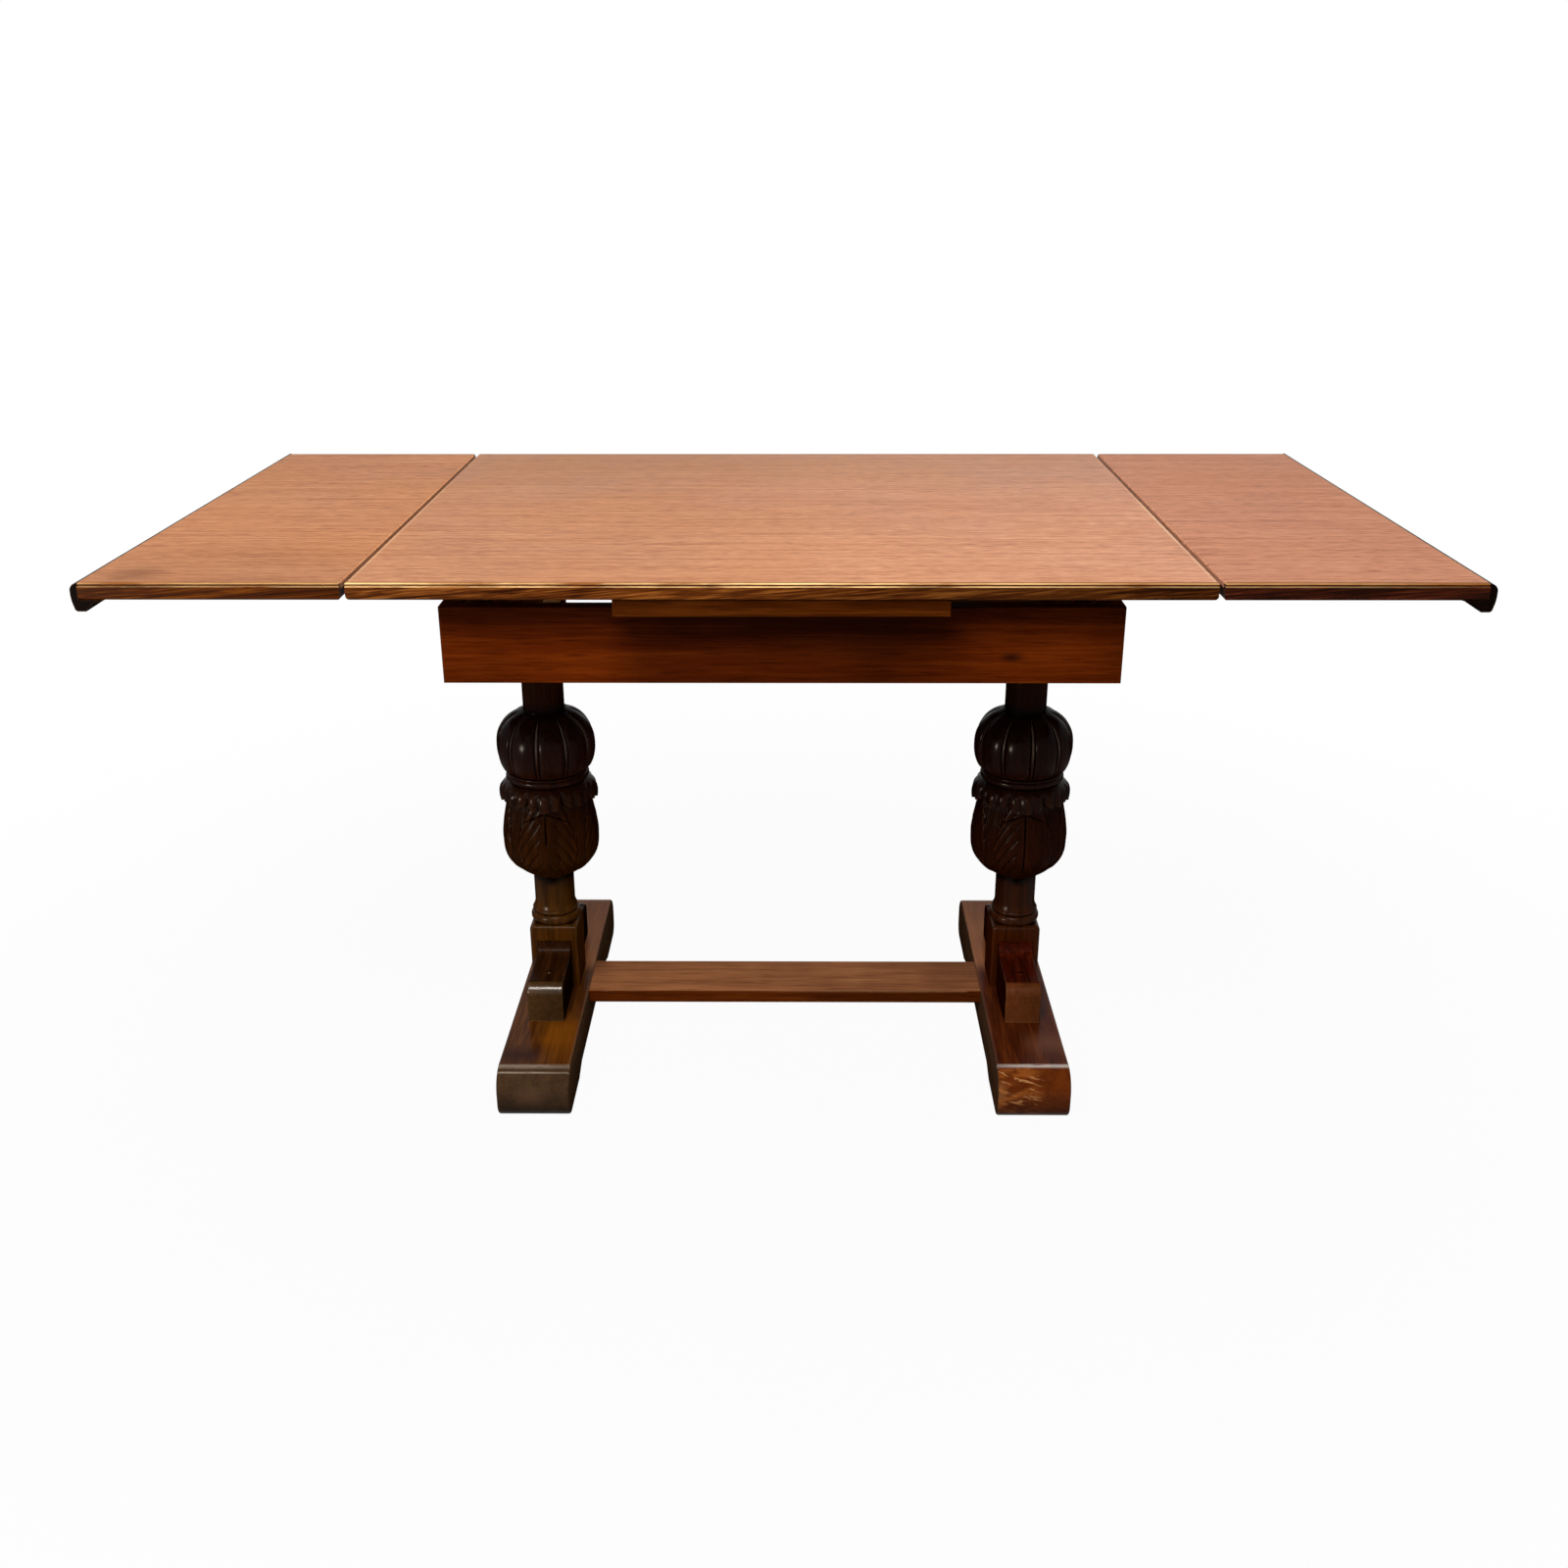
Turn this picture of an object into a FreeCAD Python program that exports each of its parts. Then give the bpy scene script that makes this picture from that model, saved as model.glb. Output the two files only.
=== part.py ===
import FreeCAD, Part
import math
import os
from FreeCAD import Vector

# Draw-leaf refectory table on two carved trestles, both leaves drawn out.
# Millimetres. X runs along the table, Y across it, Z up. The origin is on
# the floor at the middle of the table.

# Whole table
table_height = 736.0
top_length = 914.0
top_width = 762.0
board_thickness = 18.0
seam_gap = 6.0

# Moulded edge of the boards and their solid lippings
lipping_width = 8.0
edge_ledge = 1.8
edge_ledge_drop = 3.4
edge_round = 2.6
edge_nose_round = 1.2
edge_under_round = 2.5
seam_upper_round = 3.0
seam_lower_round = 5.0

# Fixed board under the middle of the top
centre_board_width = 356.0
centre_board_thickness = 19.0
centre_board_setback = 3.0
centre_board_round = 1.5
leaf_stop_gap = 1.0

# Pegs that keep the loose top in place
peg_radius = 12.0
peg_spacing = 200.0
peg_depth_in_top = 10.0
peg_reach_below = 14.0
peg_nose_round = 3.0

# Dark pull moulding on the outer end of each leaf
lip_nose = 8.0
lip_overhang = 5.0
lip_drop = 12.4
lip_foot_width = 6.2
lip_reach = 27.0
lip_top_flat = 2.0
lip_nose_drop = 9.0
lip_bottom_proud = 5.8
lip_bottom_round = 4.0
lip_upper_curve_shares = (0.78, 0.34)
lip_lower_curve_shares = (0.93, 0.50)
lip_cove_shares = (0.44, 0.33)

# Sliding lopers that carry a leaf
loper_width = 26.0
loper_depth = 34.0
loper_outer_row = 210.0
loper_inner_row = 170.0
loper_tail = 22.6
loper_end_margin = 6.0
loper_step = 1.0
loper_play = 0.4

# Stop dowels near the inner ends of the lopers
stop_radius = 4.0
stop_reach = 10.0
stop_gap = 0.4

# Frame under the top
apron_length = 742.0
apron_height = 86.0
apron_setback = 42.0
apron_thickness = 20.0
apron_round = 1.5
rail_housing = 8.0
guide_rail_thickness = 18.0
guide_rail_height = 58.0
guide_rail_inset = 3.0
bearer_width = 60.0
bearer_thickness = 38.0
bearer_gap = 1.0
corner_block_leg = 40.0
corner_block_height = 40.0

# Feet of the trestles
foot_length = 532.0
foot_width = 93.0
foot_height = 66.0
toe_round = 30.0
toe_under_round = 20.0
foot_pad_length = 95.0
foot_relief = 9.0
foot_relief_run = 30.0
foot_round = 3.0

# Turned and carved leg. Its heights are those of a leg as tall as the pattern,
# and they stretch with the height that the table leaves between foot and frame.
leg_pattern_height = 547.0
leg_block_width = 66.0
leg_block_height = 93.0
leg_block_round = 5.0
leg_shoulder = 12.0
leg_tenon_width = 36.0
leg_tenon_depth = 40.0
leg_neck_radius = 27.4
leg_lower_neck_height = 40.0
leg_torus_height = 14.0
leg_torus_reach = 5.0
leg_groove_height = 1.0
leg_groove_radius = 29.0
leg_bead_height = 5.5
leg_bead_reach = 2.5
leg_flare_height = 11.0
leg_flare_radius = 30.2
leg_flare_shares = (0.28, 0.40)
leg_cup_height = 119.0
cup_radius = 65.0
cup_shares = ((0.06, 0.62), (0.20, 0.88), (0.48, 1.0), (0.68, 0.96), (0.86, 0.905), (1.0, 0.92))
leg_collar_height = 22.0
collar_reach = 3.0
leg_waist_bead_height = 6.0
waist_bead_reach = 3.0
waist_radius = 54.0
leg_cover_height = 88.0
cover_radius = 66.0
cover_shares = ((0.0, 0.83), (0.13, 0.94), (0.39, 1.0), (0.67, 0.92), (0.86, 0.72), (1.0, 0.47))
cover_fillet = 3.0
lobe_count = 10
lobe_groove_width = 4.0
lobe_groove_depth = 3.0
leaf_count = 4
leaf_groove_angle = 33.0
leaf_groove_width = 3.0
leaf_groove_depth = 2.2
leaf_vein_depth = 1.4
leaf_tip_count = 8
leaf_tip_radius = 8.5
leaf_tip_length = 26.0
leaf_tip_round = 3.0
leaf_tip_drop = 4.0
leaf_tip_proud = 4.0
leg_upper_block_height = 44.0

# Brackets fore and aft of each leg
bracket_length = 98.0
bracket_height = 54.0
bracket_width = 47.5
bracket_nose_round = 16.0
bracket_cove = 17.0
bracket_ledge = 3.0
bracket_round = 2.0

# Stretcher between the feet
stretcher_width = 88.0
stretcher_thickness = 19.0
stretcher_drop = 1.0
stretcher_round = 2.0
stretcher_tenon_width = 62.0
stretcher_tenon_thickness = 9.0
stretcher_tenon_depth = 22.0

# Wood screws with a flat seat under the head
screw_head_radius = 4.0
screw_head_height = 3.5
screw_radius = 2.2
leaf_screw_bite = 10.0
leaf_screw_seat = 14.5
leaf_screw_margin = 40.0
lip_screw_seat = 4.5
lip_screw_inset = 6.5
lip_screw_rows = 3
lip_screw_margin = 60.0
board_screw_sink = 1.0
board_screw_bite = 20.0
board_screw_inset = 60.0
bracket_screw_sink = 3.0
bracket_screw_bite = 20.0
bracket_screw_inset = 40.0

# Fits
joint_clearance = 0.3
tenon_end_gap = 1.0
hole_clearance = 0.4
overrun = 5.0
same_place = 0.01

# Heights and places worked out from the sizes above
board_under = table_height - board_thickness
frame_top = board_under - centre_board_thickness
frame_bottom = frame_top - apron_height
half_width = top_width / 2
half_top = top_length / 2
half_centre = centre_board_width / 2
half_apron = apron_length / 2
apron_face = half_width - apron_setback
apron_inner = apron_face - apron_thickness
rail_inner = half_apron - apron_thickness
leaf_inner = half_top + seam_gap
leaf_travel = leaf_inner - half_centre - leaf_stop_gap
leaf_slope = board_thickness / leaf_travel
leaf_outer = leaf_inner + half_top + lip_overhang - half_centre - leaf_stop_gap
leaf_panel_end = leaf_outer - lip_nose
guide_rail_outer = half_centre - guide_rail_inset
guide_rail_inner = guide_rail_outer - guide_rail_thickness
guide_rail_bottom = frame_top - guide_rail_height
stop_place = guide_rail_inner - stop_gap - stop_radius
loper_inner_end = stop_place - loper_tail
trestle_offset = rail_inner - bearer_gap - bearer_width / 2
half_foot = foot_length / 2
half_block = leg_block_width / 2
leg_stretch_share = (frame_bottom - foot_height) / leg_pattern_height
torus_height = leg_torus_height * leg_stretch_share
groove_height = leg_groove_height * leg_stretch_share
bead_height = leg_bead_height * leg_stretch_share
flare_height = leg_flare_height * leg_stretch_share
rings_height = torus_height + groove_height + bead_height + flare_height
cup_height = leg_cup_height * leg_stretch_share
waist_bead = leg_waist_bead_height * leg_stretch_share
cover_height = leg_cover_height * leg_stretch_share
block_top = foot_height + leg_block_height * leg_stretch_share
neck_bottom = block_top + rings_height
cup_bottom = neck_bottom + leg_lower_neck_height * leg_stretch_share
cup_top = cup_bottom + cup_height
collar_top = cup_top + leg_collar_height * leg_stretch_share
cover_bottom = collar_top + 2 * waist_bead
cover_top = cover_bottom + cover_height
upper_block_bottom = frame_bottom - leg_upper_block_height * leg_stretch_share
upper_neck_top = upper_block_bottom - rings_height

origin = Vector(0, 0, 0)
along_x = Vector(1, 0, 0)
along_y = Vector(0, 1, 0)
along_z = Vector(0, 0, 1)


def block(x0, x1, y0, y1, z0, z1):
    """A box between two corners."""
    return Part.makeBox(x1 - x0, y1 - y0, z1 - z0, Vector(x0, y0, z0))


def outline(start, *steps):
    """A closed face: a point draws a line, a pair draws an arc, a list draws a curve."""
    edges = []
    here = start
    for step in steps + (start,):
        if isinstance(step, list):
            curve = Part.BSplineCurve()
            curve.interpolate([here] + step)
            edges.append(curve.toShape())
            here = step[-1]
        elif isinstance(step, tuple):
            edges.append(Part.Arc(here, step[0], step[1]).toShape())
            here = step[1]
        elif (step - here).Length > same_place:
            edges.append(Part.LineSegment(here, step).toShape())
            here = step
    return Part.Face(Part.Wire(edges))


def corner_arc(corner, start_dir, end_dir, radius):
    """Middle and end of a round that replaces a square corner, and its start."""
    centre = corner + start_dir * radius + end_dir * radius
    start = corner + start_dir * radius
    middle = centre - (start_dir + end_dir) * (radius / math.sqrt(2))
    end = corner + end_dir * radius
    return start, (middle, end)


def lies_at(edge, place):
    """True when the edge lies on every named plane, such as x=3 or z=7."""
    box = edge.BoundBox
    for axis, value in place.items():
        low = getattr(box, axis.upper() + "Min")
        high = getattr(box, axis.upper() + "Max")
        if abs(low - value) > same_place or abs(high - value) > same_place:
            return False
    return True


def rounded(shape, radius, *places):
    """Round every edge that lies at one of the places."""
    edges = [edge for edge in shape.Edges if any(lies_at(edge, place) for place in places)]
    return shape.makeFillet(radius, edges)


def half_turn(shape):
    """The same piece turned half way round the table's upright axis."""
    turned = shape.copy()
    turned.rotate(origin, along_z, 180)
    return turned


def mirrored(shape, normal):
    return shape.mirror(origin, normal)


def moved(shape, x, y, z):
    return shape.translated(Vector(x, y, z))


def screw(x, y, seat, tip, play=0):
    """Upright screw: the head's flat seat is at one height and its point at another."""
    way = along_z if tip > seat else along_z * -1
    head_at = Vector(x, y, seat) - way * screw_head_height
    head = Part.makeCylinder(screw_head_radius + play, screw_head_height, head_at, way)
    shank = Part.makeCylinder(screw_radius + play, abs(tip - seat), Vector(x, y, seat), way)
    return head.fuse(shank).removeSplitter()


def screw_hole(x, y, seat, tip, mouth):
    """Room for a screw and the counterbore that opens at the mouth."""
    way = along_z if tip > seat else along_z * -1
    hole = screw(x, y, seat, tip + way.z * tenon_end_gap, hole_clearance)
    depth = abs(seat - mouth) + overrun
    bore_at = Vector(x, y, seat) - way * depth
    return hole.fuse(Part.makeCylinder(screw_head_radius + hole_clearance, depth, bore_at, way))


def lipping_section(x):
    """Moulded edge of a board in the YZ plane, for the edge that faces -Y."""
    face = -half_width
    ledge = face + edge_ledge
    ledge_z = table_height - edge_ledge_drop
    inner = face + lipping_width
    up = along_z
    nose_from, nose_arc = corner_arc(Vector(x, face, ledge_z), along_y, up * -1, edge_nose_round)
    foot_from, foot_arc = corner_arc(Vector(x, face, board_under), up, along_y, edge_under_round)
    top_from, top_arc = corner_arc(Vector(x, ledge, table_height), along_y, up * -1, edge_round)
    return outline(Vector(x, inner, table_height), top_from, top_arc, Vector(x, ledge, ledge_z),
                   nose_from, nose_arc, foot_from, foot_arc, Vector(x, inner, board_under))


def board_with_lippings(blank, x0, x1):
    """Split a board blank into its panel and its front and back moulded lippings."""
    inner = half_width - lipping_width
    front = lipping_section(x0).extrude(along_x * (x1 - x0)).common(blank)
    back = mirrored(lipping_section(x0).extrude(along_x * (x1 - x0)), along_y).common(blank)
    panel = blank.common(block(x0, x1, -inner, inner, board_under, table_height))
    return panel, front, back


def top_pieces():
    """Loose main top with its two moulded lippings and the pegs under it."""
    blank = block(-half_top, half_top, -half_width, half_width, board_under, table_height)
    blank = rounded(blank, seam_lower_round, {"x": -half_top, "z": board_under},
                    {"x": half_top, "z": board_under})
    blank = rounded(blank, edge_nose_round, {"x": -half_top, "z": table_height},
                    {"x": half_top, "z": table_height})
    panel, front, back = board_with_lippings(blank, -half_top, half_top)
    pegs = []
    for side in (-1, 1):
        low = frame_top - peg_reach_below
        at = Vector(0, side * peg_spacing / 2, low)
        high = board_under + peg_depth_in_top
        peg = Part.makeCylinder(peg_radius, high - low, at)
        pegs.append(rounded(peg, peg_nose_round, {"z": low}))
        socket_at = Vector(at.x, at.y, board_under - overrun)
        socket = Part.makeCylinder(peg_radius + joint_clearance, high - board_under + overrun, socket_at)
        panel = panel.cut(socket)
    return {"top_panel": panel, "top_front_lipping": front, "top_back_lipping": back,
            "top_guide_pegs": Part.makeCompound(pegs)}


def slide_line(x):
    """Height of a loper's sloping upper line; it slides along itself, so it stays put."""
    return board_under - loper_step - leaf_slope * (leaf_inner - x)


def loper(row):
    """Right-hand loper: flat under the leaf, sloping inwards, level again under the centre board."""
    y0 = row - loper_width / 2
    outer = leaf_panel_end - lip_reach - loper_end_margin
    level = frame_top - loper_play
    flat_from = leaf_inner - (board_under - loper_step - level) / leaf_slope
    bar = outline(Vector(outer, y0, board_under), Vector(leaf_inner, y0, board_under),
                  Vector(leaf_inner, y0, slide_line(leaf_inner)), Vector(flat_from, y0, level),
                  Vector(loper_inner_end, y0, level),
                  Vector(loper_inner_end, y0, slide_line(loper_inner_end) - loper_depth),
                  Vector(outer, y0, slide_line(outer) - loper_depth))
    solid = bar.extrude(along_y * loper_width)
    for x, seat, tip in loper_screws():
        solid = solid.cut(screw_hole(x, row, seat, tip, slide_line(x) - loper_depth))
    bore_at = Vector(stop_place, y0, stop_height())
    bore = Part.makeCylinder(stop_radius + joint_clearance, loper_width, bore_at, along_y)
    return solid.cut(bore)


def loper_screws():
    """Two screws up through each loper into the leaf: place, head seat and point."""
    outer = leaf_panel_end - lip_reach - loper_end_margin - leaf_screw_margin
    inner = leaf_inner + leaf_screw_margin
    seat = board_under - leaf_screw_seat
    return [(x, seat, board_under + leaf_screw_bite) for x in (inner, outer)]


def lip_screws():
    """Screws up through the pull moulding into the leaf."""
    x = leaf_panel_end - lip_screw_inset
    reach = half_width - lip_screw_margin
    rows = [-reach + 2 * reach * i / (lip_screw_rows - 1) for i in range(lip_screw_rows)]
    return [(x, y, board_under - lip_screw_seat, board_under + leaf_screw_bite) for y in rows]


def stop_height():
    return slide_line(stop_place) - loper_depth / 2


def loper_lane(row):
    """Room that a loper needs in a rail: open at the top, sloping with the slide line."""
    y0 = row - loper_width / 2 - loper_play
    x0 = guide_rail_inner - overrun
    x1 = half_apron + overrun
    drop = loper_depth + loper_play
    lane = outline(Vector(x0, y0, frame_top + overrun), Vector(x1, y0, frame_top + overrun),
                   Vector(x1, y0, slide_line(x1) - drop), Vector(x0, y0, slide_line(x0) - drop))
    return lane.extrude(along_y * (loper_width + 2 * loper_play))


def lip_section(y):
    """Pull moulding in the XZ plane: round nose over the leaf's end, cove up to its underside."""
    end = leaf_panel_end
    low = board_under - lip_drop
    nose_z = table_height - lip_nose_drop
    tall = nose_z - low
    nose_mid = Vector(end + lip_nose * lip_upper_curve_shares[0], y,
                      table_height - lip_nose_drop * lip_upper_curve_shares[1])
    under_mid = Vector(end + lip_nose * lip_lower_curve_shares[0], y, low + tall * lip_lower_curve_shares[1])
    foot_in = end - lip_foot_width
    reach_in = end - lip_reach
    corner = Vector(end + lip_bottom_proud, y, low)
    corner_from, corner_round = corner_arc(corner, along_z, along_x * -1, lip_bottom_round)
    cove_mid = Vector(foot_in + (reach_in - foot_in) * lip_cove_shares[0], y,
                      low + lip_drop * (1 - lip_cove_shares[1]))
    return outline(Vector(end, y, table_height), Vector(end + lip_top_flat, y, table_height),
                   (nose_mid, Vector(end + lip_nose, y, nose_z)),
                   (under_mid, corner_from), corner_round, Vector(foot_in, y, low),
                   (cove_mid, Vector(reach_in, y, board_under)), Vector(end, y, board_under))


def leaf_pieces():
    """Right-hand leaf with its lippings, pull moulding, lopers, stops and screws."""
    blank = block(leaf_inner, leaf_panel_end, -half_width, half_width, board_under, table_height)
    blank = rounded(blank, seam_upper_round, {"x": leaf_inner, "z": table_height})
    blank = rounded(blank, seam_upper_round, {"x": leaf_inner, "z": board_under})
    panel, front, back = board_with_lippings(blank, leaf_inner, leaf_panel_end)
    lip = lip_section(-half_width).extrude(along_y * top_width)
    screws = []
    for x, y, seat, tip in lip_screws():
        screws.append(screw(x, y, seat, tip))
        hole = screw_hole(x, y, seat, tip, board_under - lip_drop)
        lip = lip.cut(hole)
        panel = panel.cut(hole)
    stops = []
    for row in (loper_inner_row, -loper_outer_row):
        for x, seat, tip in loper_screws():
            screws.append(screw(x, row, seat, tip))
            panel = panel.cut(screw_hole(x, row, seat, tip, seat))
        stop_at = Vector(stop_place, row - loper_width / 2 - stop_reach, stop_height())
        stops.append(Part.makeCylinder(stop_radius, loper_width + stop_reach, stop_at, along_y))
    return {"leaf_panel": panel, "leaf_front_lipping": front, "leaf_back_lipping": back, "leaf_lip": lip,
            "back_loper": loper(loper_inner_row), "front_loper": loper(-loper_outer_row),
            "leaf_screws": Part.makeCompound(screws), "loper_stops": Part.makeCompound(stops)}


def board_screws():
    """Screws down through the centre board into the aprons."""
    y = apron_face - apron_thickness / 2
    x = half_centre - board_screw_inset
    seat = board_under - board_screw_sink - screw_head_height
    return [(sx * x, sy * y, seat, frame_top - board_screw_bite) for sx in (-1, 1) for sy in (-1, 1)]


def centre_board():
    reach = half_width - centre_board_setback
    board = block(-half_centre, half_centre, -reach, reach, frame_top, board_under)
    board = rounded(board, centre_board_round, {"y": -reach, "z": frame_top}, {"y": -reach, "z": board_under},
                    {"y": reach, "z": frame_top}, {"y": reach, "z": board_under})
    for side in (-1, 1):
        at = Vector(0, side * peg_spacing / 2, frame_top - overrun)
        depth = centre_board_thickness + 2 * overrun
        board = board.cut(Part.makeCylinder(peg_radius + hole_clearance, depth, at))
    for x, y, seat, tip in board_screws():
        board = board.cut(screw_hole(x, y, seat, tip, board_under))
    return board


def apron():
    """Front apron: plain board with housings for the rails and bearers on its inner face."""
    board = block(-half_apron, half_apron, -apron_face, -apron_inner, frame_bottom, frame_top)
    board = rounded(board, apron_round,
                    {"y": -apron_face, "z": frame_bottom}, {"y": -apron_face, "z": frame_top},
                    {"y": -apron_face, "x": -half_apron}, {"y": -apron_face, "x": half_apron})
    deep = -apron_inner - rail_housing
    past = -apron_inner + overrun
    for side in (-1, 1):
        ends = sorted((side * rail_inner, side * (half_apron + overrun)))
        board = board.cut(block(ends[0], ends[1], deep, past, frame_bottom - overrun, frame_top + overrun))
        ends = sorted((side * guide_rail_inner, side * guide_rail_outer))
        board = board.cut(block(ends[0], ends[1], deep, past, guide_rail_bottom, frame_top + overrun))
        x = side * trestle_offset
        board = board.cut(block(x - bearer_width / 2, x + bearer_width / 2, deep, past,
                                frame_bottom - overrun, frame_bottom + bearer_thickness))
    for x, y, seat, tip in board_screws():
        board = board.cut(screw_hole(x, y, seat, tip, seat))
    return board


def rail_between_aprons(x0, x1, low):
    """Right-hand cross rail let into both aprons, with open-topped lanes for the lopers."""
    reach = apron_inner + rail_housing
    rail = block(x0, x1, -reach, reach, low, frame_top)
    return rail.cut([loper_lane(loper_inner_row), loper_lane(-loper_outer_row)])


def bearer():
    """Cross bearer that takes the tenon of the right-hand leg."""
    reach = apron_inner + rail_housing
    half = bearer_width / 2
    board = block(trestle_offset - half, trestle_offset + half, -reach, reach,
                  frame_bottom, frame_bottom + bearer_thickness)
    hole = leg_tenon_width / 2 + joint_clearance
    return board.cut(block(trestle_offset - hole, trestle_offset + hole, -hole, hole,
                           frame_bottom - overrun, frame_bottom + bearer_thickness + overrun))


def corner_blocks():
    """Glue blocks in the four corners of the frame, standing on the bearers."""
    low = frame_bottom + bearer_thickness
    first = outline(Vector(rail_inner, apron_inner, low),
                    Vector(rail_inner - corner_block_leg, apron_inner, low),
                    Vector(rail_inner, apron_inner - corner_block_leg, low))
    first = first.extrude(along_z * corner_block_height)
    pair = [first, mirrored(first, along_x)]
    return Part.makeCompound(pair + [mirrored(one, along_y) for one in pair])


def bead(radius, low, high, reach):
    """Half-round swelling of a turned profile, as an arc step."""
    return (Vector(radius + reach, 0, (low + high) / 2), Vector(radius, 0, high))


def share_points(shares, radius, bottom, height, inset=0):
    return [Vector(radius * r - inset, 0, bottom + height * h) for h, r in shares]


def ring_steps(base, way):
    """Torus, groove, bead and flare between a square block and the neck; way is 1 upwards, -1 downwards."""
    torus_end = base + way * torus_height
    bead_start = torus_end + way * groove_height
    bead_end = bead_start + way * bead_height
    wide, slow = leg_flare_shares
    flare_mid = Vector(leg_neck_radius + wide * (leg_flare_radius - leg_neck_radius), 0,
                       bead_end + way * slow * flare_height)
    return (Vector(leg_groove_radius, 0, base),
            bead(leg_groove_radius, base, torus_end, leg_torus_reach),
            Vector(leg_groove_radius, 0, bead_start),
            bead(leg_groove_radius, bead_start, bead_end, leg_bead_reach),
            Vector(leg_flare_radius, 0, bead_end),
            (flare_mid, Vector(leg_neck_radius, 0, bead_end + way * flare_height)))


def backwards(start, steps):
    """The same steps of an outline, drawn from their end to their start."""
    points = [start] + [step[1] if isinstance(step, tuple) else step for step in steps]
    turned = []
    for step, here in zip(reversed(steps), reversed(points[:-1])):
        turned.append((step[0], here) if isinstance(step, tuple) else here)
    return turned


def leg_turning():
    """Half section of the turned part, spun about the leg's axis."""
    lower_start = Vector(leg_groove_radius, 0, foot_height)
    upper_start = Vector(leg_groove_radius, 0, frame_bottom)
    fillet_radius = leg_neck_radius + cover_fillet
    fillet_top = cover_top + cover_fillet
    cup = share_points(cup_shares, cup_radius, cup_bottom, cup_height)
    cover = share_points(cover_shares, cover_radius, cover_bottom, cover_height)
    face = outline(Vector(0, 0, foot_height), lower_start, *ring_steps(block_top, 1),
                   Vector(leg_neck_radius, 0, cup_bottom), cup,
                   bead(cup[-1].x, cup_top, collar_top, collar_reach), Vector(waist_radius, 0, collar_top),
                   bead(waist_radius, collar_top, collar_top + waist_bead, waist_bead_reach),
                   bead(waist_radius, collar_top + waist_bead, cover_bottom, waist_bead_reach),
                   cover[0], cover[1:], Vector(fillet_radius, 0, cover_top),
                   bead(fillet_radius, cover_top, fillet_top, cover_fillet / 2),
                   Vector(leg_neck_radius, 0, fillet_top), Vector(leg_neck_radius, 0, upper_neck_top),
                   *backwards(upper_start, ring_steps(upper_block_bottom, -1)), Vector(0, 0, frame_bottom))
    return face.revolve(origin, along_z, 360)


def meridian_groove(shares, radius, bottom, height, width, depth, angle):
    """Groove that follows a turned swelling from end to end at one angle round the leg."""
    inner = share_points(shares, radius, bottom, height, depth)
    out = radius + overrun
    face = outline(inner[0], inner[1:], Vector(out, 0, inner[-1].z), Vector(out, 0, inner[0].z))
    groove = moved(face.extrude(along_y * width), 0, -width / 2, 0)
    groove.rotate(origin, along_z, angle)
    return groove


def leaf_tip(angle):
    """Curled tip of a carved leaf, standing out from the collar."""
    at = Vector(cup_radius + leaf_tip_proud - leaf_tip_radius, -leaf_tip_length / 2, cup_top - leaf_tip_drop)
    tip = Part.makeCylinder(leaf_tip_radius, leaf_tip_length, at, along_y)
    tip = tip.makeFillet(leaf_tip_round, [edge for edge in tip.Edges if len(edge.Vertexes) == 1])
    tip.rotate(origin, along_z, angle)
    return tip


def square_block(low, high, shoulder_up):
    """Square end of a leg, its corners turned away at the shoulder."""
    half = half_block
    corner = half * math.sqrt(2)
    square = block(-half, half, -half, half, low, high)
    if shoulder_up:
        near, far = high, low
        turn = high - leg_shoulder
    else:
        near, far = low, high
        turn = low + leg_shoulder
    square = rounded(square, leg_block_round, {"z": near})
    inner = leg_groove_radius + leg_torus_reach
    shrink = (corner - inner) * (1 - 1 / math.sqrt(2))
    middle = Vector(corner - shrink, 0, near + (turn - near) * (1 - 1 / math.sqrt(2)))
    face = outline(Vector(0, 0, far), Vector(corner, 0, far), Vector(corner, 0, turn),
                   (middle, Vector(inner, 0, near)), Vector(0, 0, near))
    return square.common(face.revolve(origin, along_z, 360))


def leg():
    """Carved leg on the upright axis: block, rings, leaf-carved cup, lobed cover, neck, block."""
    cutters = []
    for i in range(lobe_count):
        cutters.append(meridian_groove(cover_shares, cover_radius, cover_bottom, cover_height,
                                       lobe_groove_width, lobe_groove_depth, (i + 0.5) * 360 / lobe_count))
    for i in range(leaf_count):
        front = i * 360 / leaf_count
        for turn, depth in ((-leaf_groove_angle, leaf_groove_depth), (0, leaf_vein_depth),
                            (leaf_groove_angle, leaf_groove_depth)):
            cutters.append(meridian_groove(cup_shares, cup_radius, cup_bottom, cup_height,
                                           leaf_groove_width, depth, front + turn))
    body = leg_turning().cut(cutters)
    tips = [leaf_tip(i * 360 / leaf_tip_count) for i in range(leaf_tip_count)]
    half = leg_tenon_width / 2
    lower_tenon = block(-half, half, -half, half, foot_height - leg_tenon_depth, foot_height)
    upper_tenon = block(-half, half, -half, half, frame_bottom, frame_bottom + bearer_thickness)
    ends = [square_block(foot_height, block_top, True), square_block(upper_block_bottom, frame_bottom, False)]
    return body.fuse(tips + ends + [lower_tenon, upper_tenon]).removeSplitter()


def bracket_screw_heights():
    """Seat and point of the screw that goes down through a bracket into the foot."""
    top = foot_height + bracket_height
    return top - bracket_screw_sink - screw_head_height, foot_height - bracket_screw_bite


def bracket_screw_place():
    return -half_block - bracket_length + bracket_screw_inset


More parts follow.
